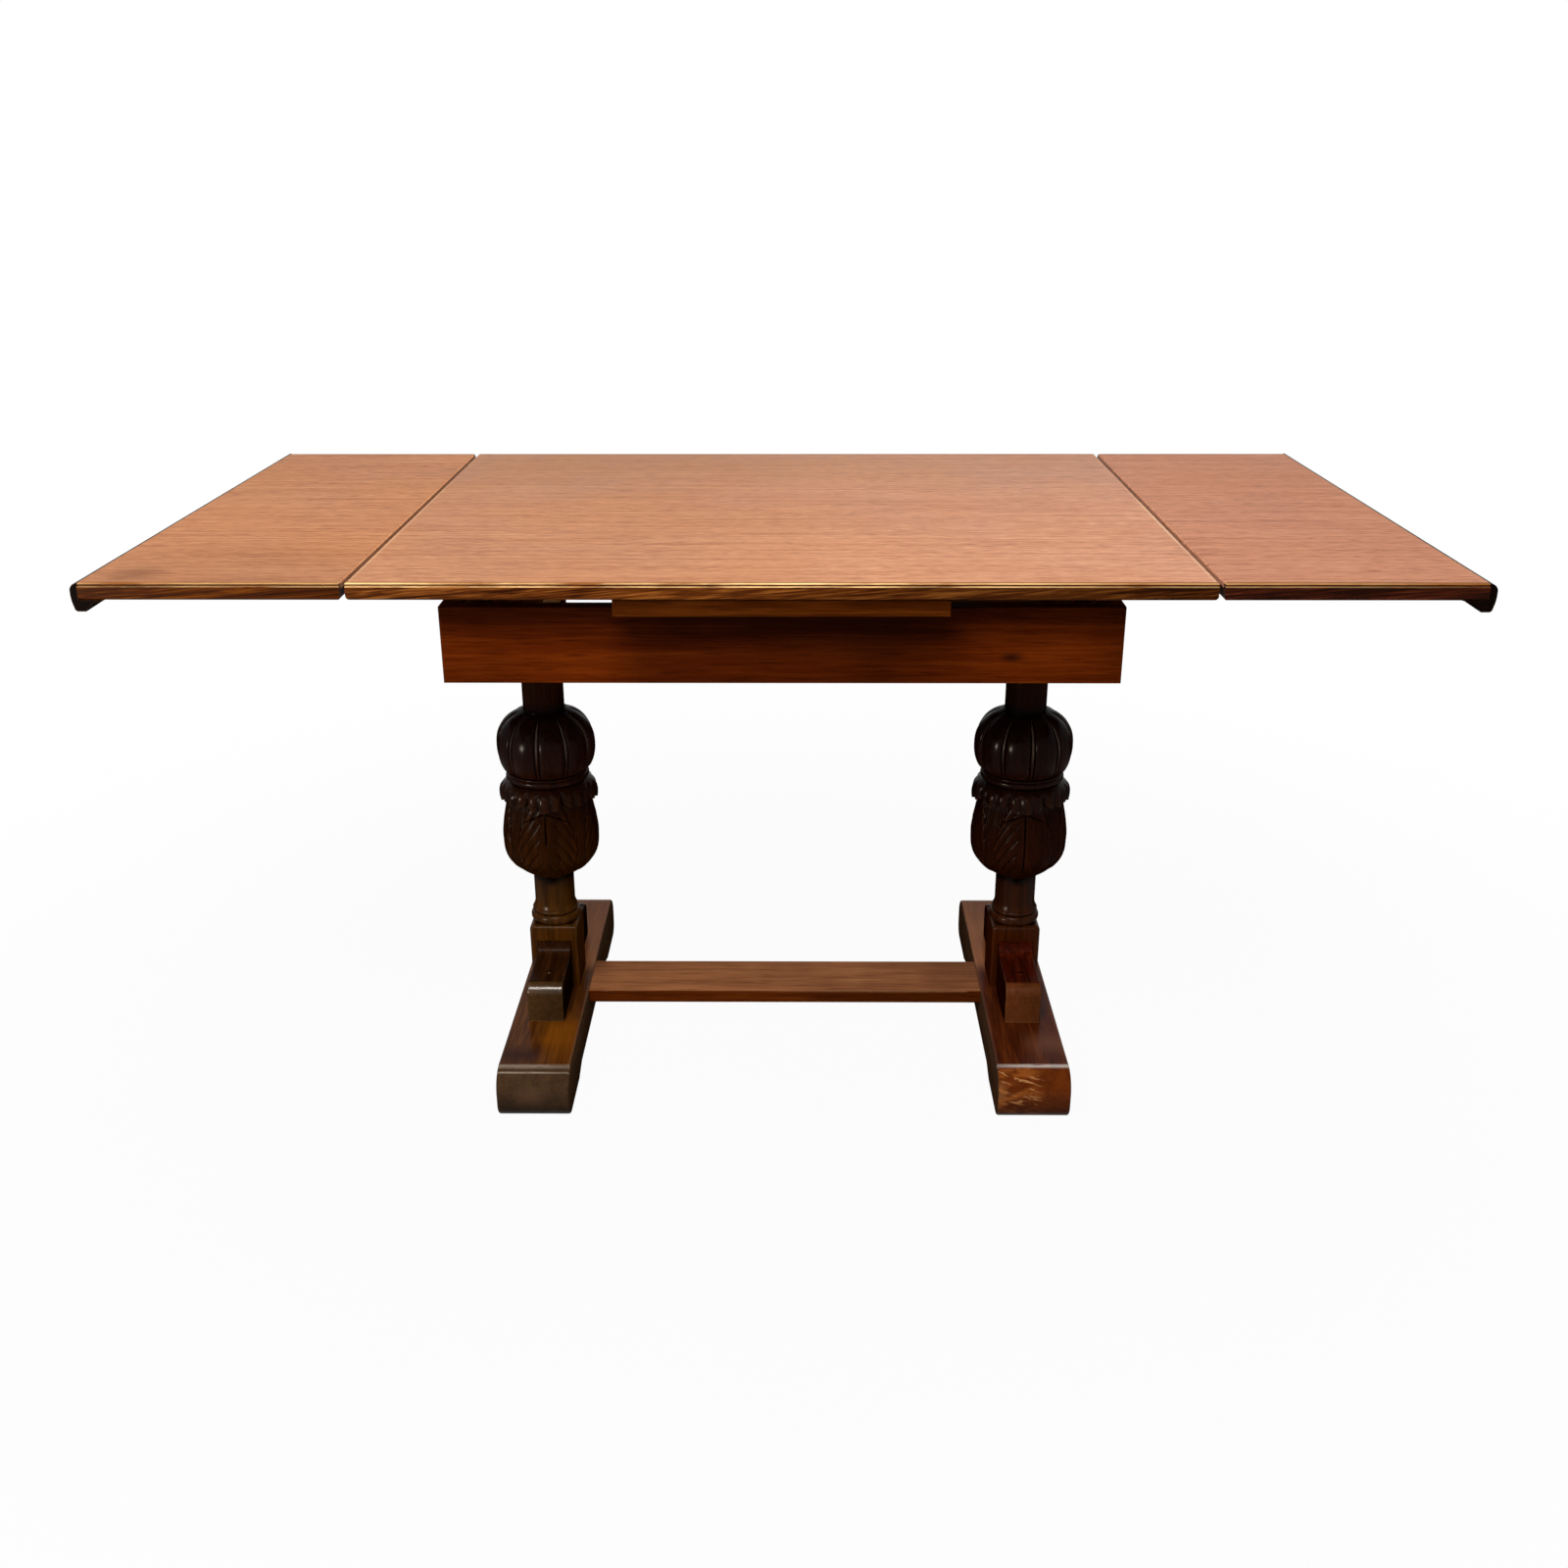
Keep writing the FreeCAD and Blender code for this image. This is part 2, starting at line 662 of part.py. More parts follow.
def bracket():
    """Front bracket: cove down from the leg, level top, round nose, upright front."""
    x = -bracket_width / 2
    back = -half_block
    front = back - bracket_length
    top = foot_height + bracket_height
    cove_back = back - bracket_ledge
    cove_from, cove_arc = corner_arc(Vector(x, cove_back, top), along_z, along_y * -1, bracket_cove)
    nose_from, nose_arc = corner_arc(Vector(x, front, top), along_y, along_z * -1, bracket_nose_round)
    face = outline(Vector(x, back, foot_height), Vector(x, back, top + bracket_cove), cove_from, cove_arc,
                   nose_from, nose_arc, Vector(x, front, foot_height))
    solid = face.extrude(along_x * bracket_width)
    solid = rounded(solid, bracket_round, {"x": x, "z": top}, {"x": -x, "z": top})
    seat, tip = bracket_screw_heights()
    return solid.cut(screw_hole(0, bracket_screw_place(), seat, tip, top))


def foot():
    """Sledge foot on the upright axis: bull-nosed toes and a shallow relief between its pads."""
    x = -foot_width / 2
    up = along_z
    back = along_y
    toe_from, toe_arc = corner_arc(Vector(x, -half_foot, foot_height), back, up * -1, toe_round)
    low_from, low_arc = corner_arc(Vector(x, -half_foot, 0), up, back, toe_under_round)
    far_low_from, far_low_arc = corner_arc(Vector(x, half_foot, 0), back * -1, up, toe_under_round)
    far_toe_from, far_toe_arc = corner_arc(Vector(x, half_foot, foot_height), up * -1, back * -1, toe_round)
    pad = half_foot - foot_pad_length
    hollow = pad - foot_relief_run
    face = outline(toe_from, toe_arc, low_from, low_arc, Vector(x, -pad, 0), Vector(x, -hollow, foot_relief),
                   Vector(x, hollow, foot_relief), Vector(x, pad, 0), far_low_from, far_low_arc,
                   far_toe_from, far_toe_arc)
    solid = face.extrude(along_x * foot_width)
    solid = rounded(solid, foot_round, {"x": x}, {"x": -x})
    hole = leg_tenon_width / 2 + joint_clearance
    deep = foot_height - leg_tenon_depth - tenon_end_gap
    cuts = [block(-hole, hole, -hole, hole, deep, foot_height + overrun)]
    seat, tip = bracket_screw_heights()
    for side in (-1, 1):
        cuts.append(screw_hole(0, side * bracket_screw_place(), seat, tip, seat))
    return solid.cut(cuts)


def foot_with_mortise():
    """Right-hand foot, with the mortise for the stretcher in its inner side."""
    low = stretcher_bottom()
    half = stretcher_tenon_width / 2 + joint_clearance
    inner = trestle_offset - foot_width / 2
    mortise = block(inner - overrun, inner + stretcher_tenon_depth + tenon_end_gap, -half, half,
                    low - joint_clearance, low + stretcher_tenon_thickness + joint_clearance)
    return moved(foot(), trestle_offset, 0, 0).cut(mortise)


def stretcher_bottom():
    return foot_height - stretcher_drop - stretcher_thickness


def stretcher():
    """Flat stretcher with a barefaced tenon at each end."""
    inner = trestle_offset - foot_width / 2
    half = stretcher_width / 2
    low = stretcher_bottom()
    high = low + stretcher_thickness
    board = block(-inner, inner, -half, half, low, high)
    board = rounded(board, stretcher_round, {"y": -half, "z": low}, {"y": -half, "z": high},
                    {"y": half, "z": low}, {"y": half, "z": high})
    reach = inner + stretcher_tenon_depth
    half_tenon = stretcher_tenon_width / 2
    tenon = block(-reach, reach, -half_tenon, half_tenon, low, low + stretcher_tenon_thickness)
    return board.fuse(tenon).removeSplitter()


def build():
    """Every piece of the table by name."""
    pieces = dict(top_pieces())
    swapped = {"front": "back", "back": "front"}
    for name, shape in leaf_pieces().items():
        pieces["right_" + name] = shape
        other = "_".join(swapped.get(word, word) for word in name.split("_"))
        pieces["left_" + other] = half_turn(shape)
    pieces["centre_board"] = centre_board()
    pieces["centre_board_screws"] = Part.makeCompound([screw(*place) for place in board_screws()])
    pieces["front_apron"] = apron()
    pieces["back_apron"] = mirrored(pieces["front_apron"], along_y)
    pieces["right_end_rail"] = rail_between_aprons(rail_inner, half_apron, frame_bottom)
    pieces["right_guide_rail"] = rail_between_aprons(guide_rail_inner, guide_rail_outer, guide_rail_bottom)
    pieces["right_bearer"] = bearer()
    pieces["right_leg"] = moved(leg(), trestle_offset, 0, 0)
    pieces["right_foot"] = foot_with_mortise()
    pieces["right_front_bracket"] = moved(bracket(), trestle_offset, 0, 0)
    pieces["right_back_bracket"] = mirrored(pieces["right_front_bracket"], along_y)
    for name in ("end_rail", "guide_rail", "bearer", "leg", "foot"):
        pieces["left_" + name] = half_turn(pieces["right_" + name])
    pieces["left_front_bracket"] = half_turn(pieces["right_back_bracket"])
    pieces["left_back_bracket"] = half_turn(pieces["right_front_bracket"])
    pieces["corner_blocks"] = corner_blocks()
    pieces["stretcher"] = stretcher()
    seat, tip = bracket_screw_heights()
    places = [(sx * trestle_offset, sy * bracket_screw_place()) for sx in (-1, 1) for sy in (-1, 1)]
    pieces["bracket_screws"] = Part.makeCompound([screw(x, y, seat, tip) for x, y in places])
    return pieces


os.makedirs("parts", exist_ok=True)
for name, shape in build().items():
    shape.exportStep("parts/" + name + ".step")
    print(name, len(shape.Solids), shape.isValid(), round(shape.Volume / 1000, 1))
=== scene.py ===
import math

import bpy
import numpy as np
from mathutils import Matrix, Vector


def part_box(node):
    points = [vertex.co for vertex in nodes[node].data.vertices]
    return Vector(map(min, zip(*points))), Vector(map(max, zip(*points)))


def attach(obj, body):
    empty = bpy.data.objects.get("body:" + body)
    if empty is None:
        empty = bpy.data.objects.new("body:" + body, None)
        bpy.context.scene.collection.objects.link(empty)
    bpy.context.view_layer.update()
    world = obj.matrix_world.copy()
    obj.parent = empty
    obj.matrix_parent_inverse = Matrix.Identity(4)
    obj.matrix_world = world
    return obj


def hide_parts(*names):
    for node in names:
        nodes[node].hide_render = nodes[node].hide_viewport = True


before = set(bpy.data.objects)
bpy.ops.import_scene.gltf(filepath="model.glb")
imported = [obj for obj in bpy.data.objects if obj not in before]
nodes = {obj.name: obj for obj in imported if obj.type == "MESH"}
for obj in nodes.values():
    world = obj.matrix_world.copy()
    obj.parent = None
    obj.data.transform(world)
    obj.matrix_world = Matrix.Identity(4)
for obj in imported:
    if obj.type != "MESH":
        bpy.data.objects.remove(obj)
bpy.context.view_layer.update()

# A draw-leaf table in the round: the boards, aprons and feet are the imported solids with
# wood finishes, and the two carved legs are meshes that stand for the turned solids.
# Metres, in the frame's own axes: X along the table, Y towards the back, Z up.

top_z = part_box("top_panel")[1].z
top_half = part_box("top_panel")[1].x
foot_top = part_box("left_foot")[1].z
frame_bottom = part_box("front_apron")[0].z
apron_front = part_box("front_apron")[0].y


# Colours

def srgb(red, green, blue):
    """Linear colour from the 0 to 255 values of a picture."""
    shares = np.array([red, green, blue]) / 255
    linear = np.where(shares <= 0.04045, shares / 12.92, ((shares + 0.055) / 1.055) ** 2.4)
    return (*linear.tolist(), 1.0)


def palette(*colours):
    return tuple(srgb(*colour) for colour in colours)


# Tones of a wood are its deep, its middle and its pale colour.
TOP_TONES = palette((160, 96, 58), (200, 135, 93), (224, 164, 118))
PINK_TINT = (1.14, 1.21, 1.5, 1.0)
# Greyish sheen painted towards the back of the boards
TOP_PAINTED_SHEEN = srgb(150, 112, 92)
TOP_WORN = srgb(240, 206, 164)
LEFT_LEAF_TONES = palette((156, 94, 55), (200, 134, 92), (222, 160, 114))
RIGHT_LEAF_TONES = palette((160, 98, 70), (206, 138, 104), (224, 162, 128))
PURPLE_BLOTCH = srgb(140, 98, 92)
UNDERSIDE = srgb(150, 112, 70)
LIPPING_TOP = srgb(150, 92, 52)
TOP_FACE = palette((47, 16, 2), (105, 52, 13), (164, 98, 40))
LEFT_FACE = palette((40, 14, 1), (80, 33, 2), (120, 62, 10))
RIGHT_FACE = palette((33, 11, 4), (66, 25, 11), (106, 49, 27))
EDGE_DARK = srgb(92, 44, 10)
# Dark brown painted as shade deep in the seams, and the tarnish of steel
EDGE_DEEP = srgb(40, 16, 4)
EDGE_PALE = srgb(146, 88, 38)
# Gold of the lippings' worn edges, partly a painted highlight
WORN_GOLD_HIGHLIGHT = srgb(252, 206, 140)
QUIRK_PAINTED_SHADOW = srgb(56, 24, 8)
LIP_TONES = palette((6, 2, 1), (12, 5, 2), (26, 11, 5))
LIP_WORN = srgb(58, 30, 16)
APRON_TONES = palette((58, 16, 0), (90, 31, 1), (112, 46, 6))
APRON_WORN = srgb(132, 66, 20)
APRON_KNOT = srgb(20, 6, 2)
BOARD_TONES = palette((40, 13, 0), (66, 26, 1), (94, 45, 8))
BOARD_WORN = srgb(120, 66, 24)
LEFT_FOOT_TONES = palette((40, 18, 2), (72, 36, 8), (104, 60, 20))
LEFT_TOE = srgb(60, 42, 27)
LEFT_TOE_SMUDGE = srgb(92, 64, 46)
LEFT_AMBER = srgb(124, 68, 12)
LEFT_PATCH = srgb(44, 14, 5)
RIGHT_FOOT_TONES = palette((40, 13, 3), (72, 28, 8), (104, 50, 18))
RIGHT_TOE = srgb(84, 36, 10)
# Pinkish sheen painted near the right toe
RIGHT_PAINTED_SHEEN = srgb(112, 66, 44)
FOOT_SCRATCH = srgb(206, 146, 90)
LEFT_BRACKET_TONES = palette((20, 8, 2), (40, 18, 4), (66, 34, 10))
LEFT_BRACKET_FRONT = srgb(66, 44, 22)
RIGHT_BRACKET_TONES = palette((30, 5, 1), (58, 14, 3), (86, 30, 10))
RIGHT_BRACKET_FRONT = srgb(88, 45, 20)
FOOT_WORN = srgb(150, 104, 62)
# Pale colours of the highlight lines painted on the feet's noses
LEFT_PAINTED_HIGHLIGHT = srgb(206, 186, 164)
RIGHT_PAINTED_HIGHLIGHT = srgb(252, 238, 226)
# Paler grey-brown painted on the feet's inner sides as light
FOOT_SIDE_PAINTED_LIGHT = srgb(66, 48, 33)
DOT_PALE = srgb(226, 196, 164)
# Paler sheen painted on the far part of the feet's tops, standing in for light under the table
FAR_PAINTED_SHEEN = srgb(184, 116, 72)
TOE_ORANGE = srgb(150, 82, 32)
STRETCHER_TONES = palette((54, 18, 1), (90, 37, 4), (118, 56, 14))
STRETCHER_TOP_SHEEN = palette((118, 70, 38), (153, 95, 57), (176, 118, 76))
STRETCHER_WORN = srgb(190, 146, 104)
CREST_PAINTED_HIGHLIGHT = srgb(150, 128, 112)
BEECH_TONES = palette((150, 104, 62), (176, 130, 82), (198, 154, 104))
BEECH_WORN = srgb(198, 154, 104)
SLIDE_TONES = palette((54, 26, 8), (78, 42, 16), (106, 64, 30))
SLIDE_WORN = srgb(120, 78, 42)
STEEL = srgb(120, 112, 100)
FLOOR = srgb(178, 178, 178)
FLOOR_CLOUD = srgb(170, 170, 170)


# Node trees

BEVEL_SAMPLES = 4
EDGE_TURN = 0.12
SIDE_TURN = (0.45, 0.9)


class Paint:
    """A material's node tree, with short words for the nodes that the finishes use."""

    def __init__(self, name):
        self.material = bpy.data.materials.new(name)
        self.material.use_nodes = True
        self.tree = self.material.node_tree
        self.shader = self.tree.nodes["Principled BSDF"]
        self.coordinates = self.node("TexCoord").outputs["Object"]
        self.x, self.y, self.z = self.node("SeparateXYZ", {0: self.coordinates}).outputs.values()

    def node(self, kind, inputs=None, **settings):
        """A new node with its settings, and with plain values or other nodes' outputs for its inputs."""
        made = self.tree.nodes.new("ShaderNode" + kind)
        for name, value in settings.items():
            setattr(made, name, value)
        for key, value in (inputs or {}).items():
            self.put(value, made.inputs[key])
        return made

    def put(self, value, socket):
        """Set a socket to a plain value, or link another node's output to it."""
        if isinstance(value, bpy.types.NodeSocket):
            self.tree.links.new(value, socket)
        else:
            socket.default_value = value

    def facing(self, letter):
        """Component of the surface's own direction along an axis."""
        normal = self.node("NewGeometry").outputs["Normal"]
        return self.node("SeparateXYZ", {0: normal}).outputs[letter]

    def sideways(self):
        """1 on faces towards the ends of the table, 0 on faces along it."""
        return self.size(self.facing("X"))

    def scaled(self, scale, vector=None):
        """Coordinates stretched by a number for each axis."""
        inputs = {"Vector": vector or self.coordinates, "Scale": scale}
        return self.node("Mapping", inputs).outputs["Vector"]

    def rotated(self, degrees):
        """Coordinates turned about the axis from front to back."""
        inputs = {"Vector": self.coordinates, "Rotation": (0.0, math.radians(degrees), 0.0)}
        return self.node("Mapping", inputs).outputs["Vector"]

    def noise(self, vector, scale=1.0, detail=2.0, roughness=0.5, distortion=0.0):
        inputs = {"Vector": vector, "Scale": scale, "Detail": detail, "Roughness": roughness,
                  "Distortion": distortion}
        return self.node("TexNoise", inputs).outputs[0]

    def spread(self, value, low, high, to_low=0.0, to_high=1.0):
        """Smooth step of a value between two limits."""
        inputs = {"Value": value, "From Min": low, "From Max": high, "To Min": to_low, "To Max": to_high}
        return self.node("MapRange", inputs, interpolation_type="SMOOTHSTEP").outputs["Result"]

    def maths(self, operation, first, second=0.5):
        return self.node("Math", {0: first, 1: second}, operation=operation).outputs[0]

    def size(self, value):
        """A value without its sign."""
        return self.maths("ABSOLUTE", value)

    def product(self, first, *others):
        for other in others:
            first = self.maths("MULTIPLY", first, other)
        return first

    def weighted(self, *layers):
        """Sum of layers, each with its weight."""
        total = 0.0
        for layer, weight in layers:
            total = self.maths("ADD", total, self.product(layer, weight))
        return total

    def between(self, value, low, high, soft):
        """1 between two limits of a value, falling to 0 outside them."""
        above = self.spread(value, low - soft, low + soft)
        return self.product(above, self.spread(value, high - soft, high + soft, 1.0, 0.0))

    def length(self, vector):
        return self.node("VectorMath", {0: vector}, operation="LENGTH").outputs["Value"]

    def near(self, point, radius, squash=(1.0, 1.0, 1.0)):
        """1 at a point of the frame, falling smoothly to 0 at a radius."""
        away = self.node("VectorMath", {0: self.coordinates, 1: point}, operation="SUBTRACT").outputs[0]
        return self.spread(self.length(self.scaled(squash, away)), 0.0, radius, 1.0, 0.0)

    def mixed(self, share, first, second, blend="MIX"):
        """Two colours mixed by a share."""
        inputs = {0: share, 6: first, 7: second}
        return self.node("Mix", inputs, data_type="RGBA", blend_type=blend).outputs[2]

    def times(self, colour, value):
        """A colour made brighter or darker by a number."""
        vector = colour[:3] if isinstance(colour, tuple) else colour
        return self.node("VectorMath", {0: vector, "Scale": value}, operation="SCALE").outputs[0]

    def ramp(self, value, stops):
        """Colours at places from 0 to 1."""
        made = self.node("ValToRGB", {0: value})
        elements = made.color_ramp.elements
        while len(elements) < len(stops):
            elements.new(1.0)
        for element, (place, colour) in zip(elements, stops):
            element.position = place
            element.color = colour
        return made.outputs[0]

    def arrises(self, radius):
        """0 on flat ground, rising to 1 along the edges of a piece."""
        bevel = self.node("Bevel", {"Radius": radius}, samples=BEVEL_SAMPLES).outputs[0]
        normal = self.node("NewGeometry").outputs["Normal"]
        dot = self.node("VectorMath", {0: bevel, 1: normal}, operation="DOT_PRODUCT").outputs["Value"]
        return self.spread(dot, 1.0 - EDGE_TURN, 1.0, 1.0, 0.0)

    def dent(self, height, strength, distance):
        inputs = {"Height": height, "Strength": strength, "Distance": distance}
        return self.node("Bump", inputs).outputs[0]

    def dull_sides(self, level=0.5, share=1.0):
        """Dusty faces towards the ends of the table and towards the floor have no gloss."""
        side = self.spread(self.sideways(), *SIDE_TURN, level, 0.0)
        under = self.spread(self.facing("Z"), -0.5, -0.1)
        self.put(self.product(side, under, share), self.shader.inputs["Specular IOR Level"])

    def glossy_nose(self, plain, on_nose, from_y):
        """One level of gloss on the rounded nose of a foot or bracket, another elsewhere, none sideways."""
        sides = self.spread(self.sideways(), *SIDE_TURN, 1.0, 0.0)
        nose = self.product(self.spread(self.facing("Y"), -0.15, -0.5),
                            self.spread(self.facing("Z"), 0.1, 0.4),
                            self.spread(self.size(self.y), from_y - NOSE_SOFT, from_y))
        level = self.maths("ADD", self.product(nose, on_nose - plain), plain)
        self.put(self.product(level, sides), self.shader.inputs["Specular IOR Level"])

    def finish(self, colour, roughness, normal, gloss):
        """Plug the finished layers into the shader and hand over the material; gloss is its IOR."""
        layers = {"Base Color": colour, "Roughness": roughness, "Normal": normal, "IOR": gloss}
        for name, value in layers.items():
            self.put(value, self.shader.inputs[name])
        return self.material


# Woods

BAND_SHARE = 0.09
FIBRE_TIMES = 2.6
PORE_TIMES = 3.4
PORE_DEPTH = 0.0004
SPOT_DEPTH = 0.0002
OAK_ALONG = 6.0
OAK_WAVER = 0.6
EDGE_WIDTH = 0.003

# Refractive indices of the finishes; old wax has hardly any gloss left
DEAD = 1.06
DULL = 1.09
MATT = 1.12
VARNISH = 1.35
STEEL_INDEX = 1.5

# Least and greatest roughness of a finish
POLISHED = (0.18, 0.28)
WAXED = (0.26, 0.42)
SATIN = (0.34, 0.5)
WORN_WAX = (0.4, 0.55)
BARE = (0.5, 0.7)
METAL = (0.3, 0.55)
WAXED_METAL = (0.3, 0.5)

# A place beyond the table, for what a piece doesn't have
NOWHERE = 9.0


class Layers:
    """What comes from the layers of a wood: its colours, shades, rubbed edges, roughness and dents."""

    def colours(self, deep, mid, pale, pore_dark=0.35, reach=0.16):
        """Colour from the grain, with darker pores; a short reach makes the grain stronger."""
        stops = ((0.5 - reach, deep), (0.5, mid), (0.5 + reach, pale))
        colour = self.paint.ramp(self.tone, stops)
        return self.paint.mixed(self.paint.product(self.pore, pore_dark), colour, deep, "MULTIPLY")

    def uneven(self, depth):
        """Shades of the grain about 1, for a face with one tone."""
        return self.paint.spread(self.tone, 0.36, 0.64, 1.0 - depth, 1.0 + depth)

    def rubbed_edges(self):
        """1 in patches along the edges of a piece."""
        return self.paint.product(self.paint.arrises(EDGE_WIDTH), self.paint.spread(self.mottle, 0.38, 0.58))

    def roughness(self, low, high):
        return self.paint.spread(self.paint.maths("ADD", self.mottle, self.fibre), 0.7, 1.3, low, high)

    def normal(self, strength):
        height = self.paint.maths("SUBTRACT", self.paint.product(self.fibre, 0.5), self.pore)
        return self.paint.dent(height, strength, PORE_DEPTH)

    def finish(self, colour, roughness, dents, gloss):
        return self.paint.finish(colour, self.roughness(*roughness), self.normal(dents), gloss)


class Grain(Layers):
    """Layers of straight-grained wood: broad bands, streaks, fine fibres and open pores."""

    def __init__(self, paint, letter, across, along=OAK_ALONG, waver=OAK_WAVER, tilted=None):
        self.paint = paint
        scale = [across, across, across]
        scale["XYZ".index(letter)] = along
        place = paint.scaled(scale, tilted)
        self.band = paint.noise(place, BAND_SHARE, 3.0, 0.55, waver)
        self.streak = paint.noise(place, 1.0, 3.0, 0.6, waver)
        self.fibre = paint.noise(place, FIBRE_TIMES, 2.0, 0.6)
        self.pore = paint.spread(paint.noise(place, PORE_TIMES, 1.0), 0.60, 0.68)
        self.mottle = paint.noise(paint.coordinates, 7.0, 3.0)
        self.tone = paint.weighted((self.band, 0.30), (self.streak, 0.45), (self.fibre, 0.25))


class Fibres(Layers):
    """Layers of the veneer: dense short fibres over streaks and blotches, pores, a few long thin lines."""

    def __init__(self, paint):
        self.paint = paint
        self.fibre = paint.noise(paint.scaled((45.0, 420.0, 420.0)), 1.0, 3.0, 0.65, 0.1)
        self.streak = paint.noise(paint.scaled((6.0, 150.0, 150.0)), 1.0, 3.0, 0.6, 0.1)
        self.mottle = paint.noise(paint.coordinates, 6.0, 3.0)
        self.pore = paint.spread(paint.noise(paint.scaled((40.0, 420.0, 420.0)), 1.0, 1.0), 0.60, 0.70)
        self.line = paint.noise(paint.scaled((2.5, 300.0, 300.0)), 1.0, 0.0)
        self.tone = paint.weighted((self.fibre, 0.55), (self.streak, 0.3), (self.mottle, 0.15))


def millimetres_down(paint):
    """Depth below the table's top, in millimetres."""
    return paint.product(paint.maths("SUBTRACT", top_z, paint.z), 1000.0)


# Boards of the top. Spans run along X or Y in metres, and depths are in millimetres.

UPWARDS = (0.0, 0.0, 1.0)
LONG_LINE = 0.5
STAIN_SHARE = 0.22
BLUSH_SPAN = (-0.2, 0.5)
SHEEN_SPAN = (-0.1, 0.42)
SHADE_SPAN = (-0.45, 0.2)
FRONT_SPAN = (-0.38, -0.1)
VENEER_EDGE = 0.002
WORN_WIDTH = 0.002
WORN_SOFT = 0.0008
WORN_SPAN = (-0.1, 0.25)
WORN_SIDES = (-0.2, 0.2)
SEAM_SOFT = 0.3

# Depth below which the edges of a board are painted dark as shade in the seam, and how much brighter they are
# painted above it as light
SEAM = (6.0, 1.25)
LEFT_SEAM = (7.4, 1.65)


def veneer(name, tones, gloss, shades, blush=0.0, painted_sheen=0.0, worn_from=NOWHERE, smudge=None, seam=SEAM):
    """Satin board of the top: fine grain along X, a greyer sheen painted towards the back, bare wood
    underneath, its edges in the seams painted dark as shade deep down and brighter as light above.
    """
    paint = Paint(name)
    grain = Fibres(paint)
    colour = grain.colours(*tones, 0.3, 0.13)
    dark_line = paint.spread(grain.line, 0.30, 0.23, 0.0, LONG_LINE / 2)
    colour = paint.mixed(dark_line, colour, tones[0])
    pale_line = paint.spread(grain.line, 0.66, 0.73, 0.0, LONG_LINE)
    colour = paint.mixed(pale_line, colour, tones[2])
    pink = paint.spread(paint.x, *BLUSH_SPAN, 0.0, blush)
    colour = paint.mixed(pink, colour, PINK_TINT, "MULTIPLY")
    stain = paint.spread(paint.noise(paint.coordinates, 3.0, 4.0, 0.6), 0.35, 0.75, 0.0, STAIN_SHARE)
    colour = paint.mixed(stain, colour, tones[0])
    # Greyer sheen painted towards the back of the board
    colour = paint.mixed(paint.spread(paint.y, *SHEEN_SPAN, 0.0, painted_sheen), colour, TOP_PAINTED_SHEEN)
    left_shade, right_shade, front_shade = shades
    lengthwise = paint.spread(paint.x, *SHADE_SPAN, left_shade, right_shade)
    crosswise = paint.spread(paint.y, *FRONT_SPAN, front_shade, 1.0)
    colour = paint.times(colour, paint.product(lengthwise, crosswise))
    if smudge:
        place, size, tone, share = smudge
        colour = paint.mixed(paint.product(paint.near(place, size), share), colour, tone)
    rubbed = paint.product(paint.arrises(VENEER_EDGE), 0.3)
    outwards = paint.size(paint.x)
    end = paint.between(outwards, worn_from, worn_from + WORN_WIDTH, WORN_SOFT)
    end_share = paint.product(paint.spread(paint.y, *WORN_SPAN, 1.0, 0.15),
                              paint.spread(paint.x, *WORN_SIDES, 0.45, 1.0))
    worn = paint.maths("MAXIMUM", rubbed, paint.product(end, end_share, 0.75))
    worn = paint.product(worn, paint.spread(grain.mottle, 0.30, 0.5, 0.3, 1.0))
    colour = paint.mixed(worn, colour, TOP_WORN)
    # In the seams the upright edges are painted dark below a depth as shade, and brighter above it as painted
    # light
    shade_from, painted_light_lift = seam
    upright = paint.spread(paint.size(paint.facing("Z")), 0.98, 0.5)
    deep = paint.spread(millimetres_down(paint), shade_from, shade_from + SEAM_SOFT)
    colour = paint.mixed(paint.product(upright, deep), colour, EDGE_DEEP)
    colour = paint.mixed(paint.spread(paint.facing("Z"), -0.5, -0.9), colour, UNDERSIDE)
    rounded_over = paint.product(upright, paint.maths("SUBTRACT", 1.0, deep))
    colour = paint.times(colour, paint.spread(rounded_over, 0.0, 1.0, 1.0, painted_light_lift))
    layers = {0: rounded_over, 4: grain.normal(0.12), 5: UPWARDS}
    normal = paint.node("Mix", layers, data_type="VECTOR").outputs[1]
    return paint.finish(colour, grain.roughness(*SATIN), normal, gloss)


LIPPING_SLOPE = 5.0
FACE_SPAN = (-0.2, 0.3)
EDGE_WOBBLE = 0.7
ARRIS_END = (1.3, 1.6)
QUIRK = (1.5, 2.8)
SECOND_LINE = (2.8, 4.2)
LINE_SOFT = 0.2


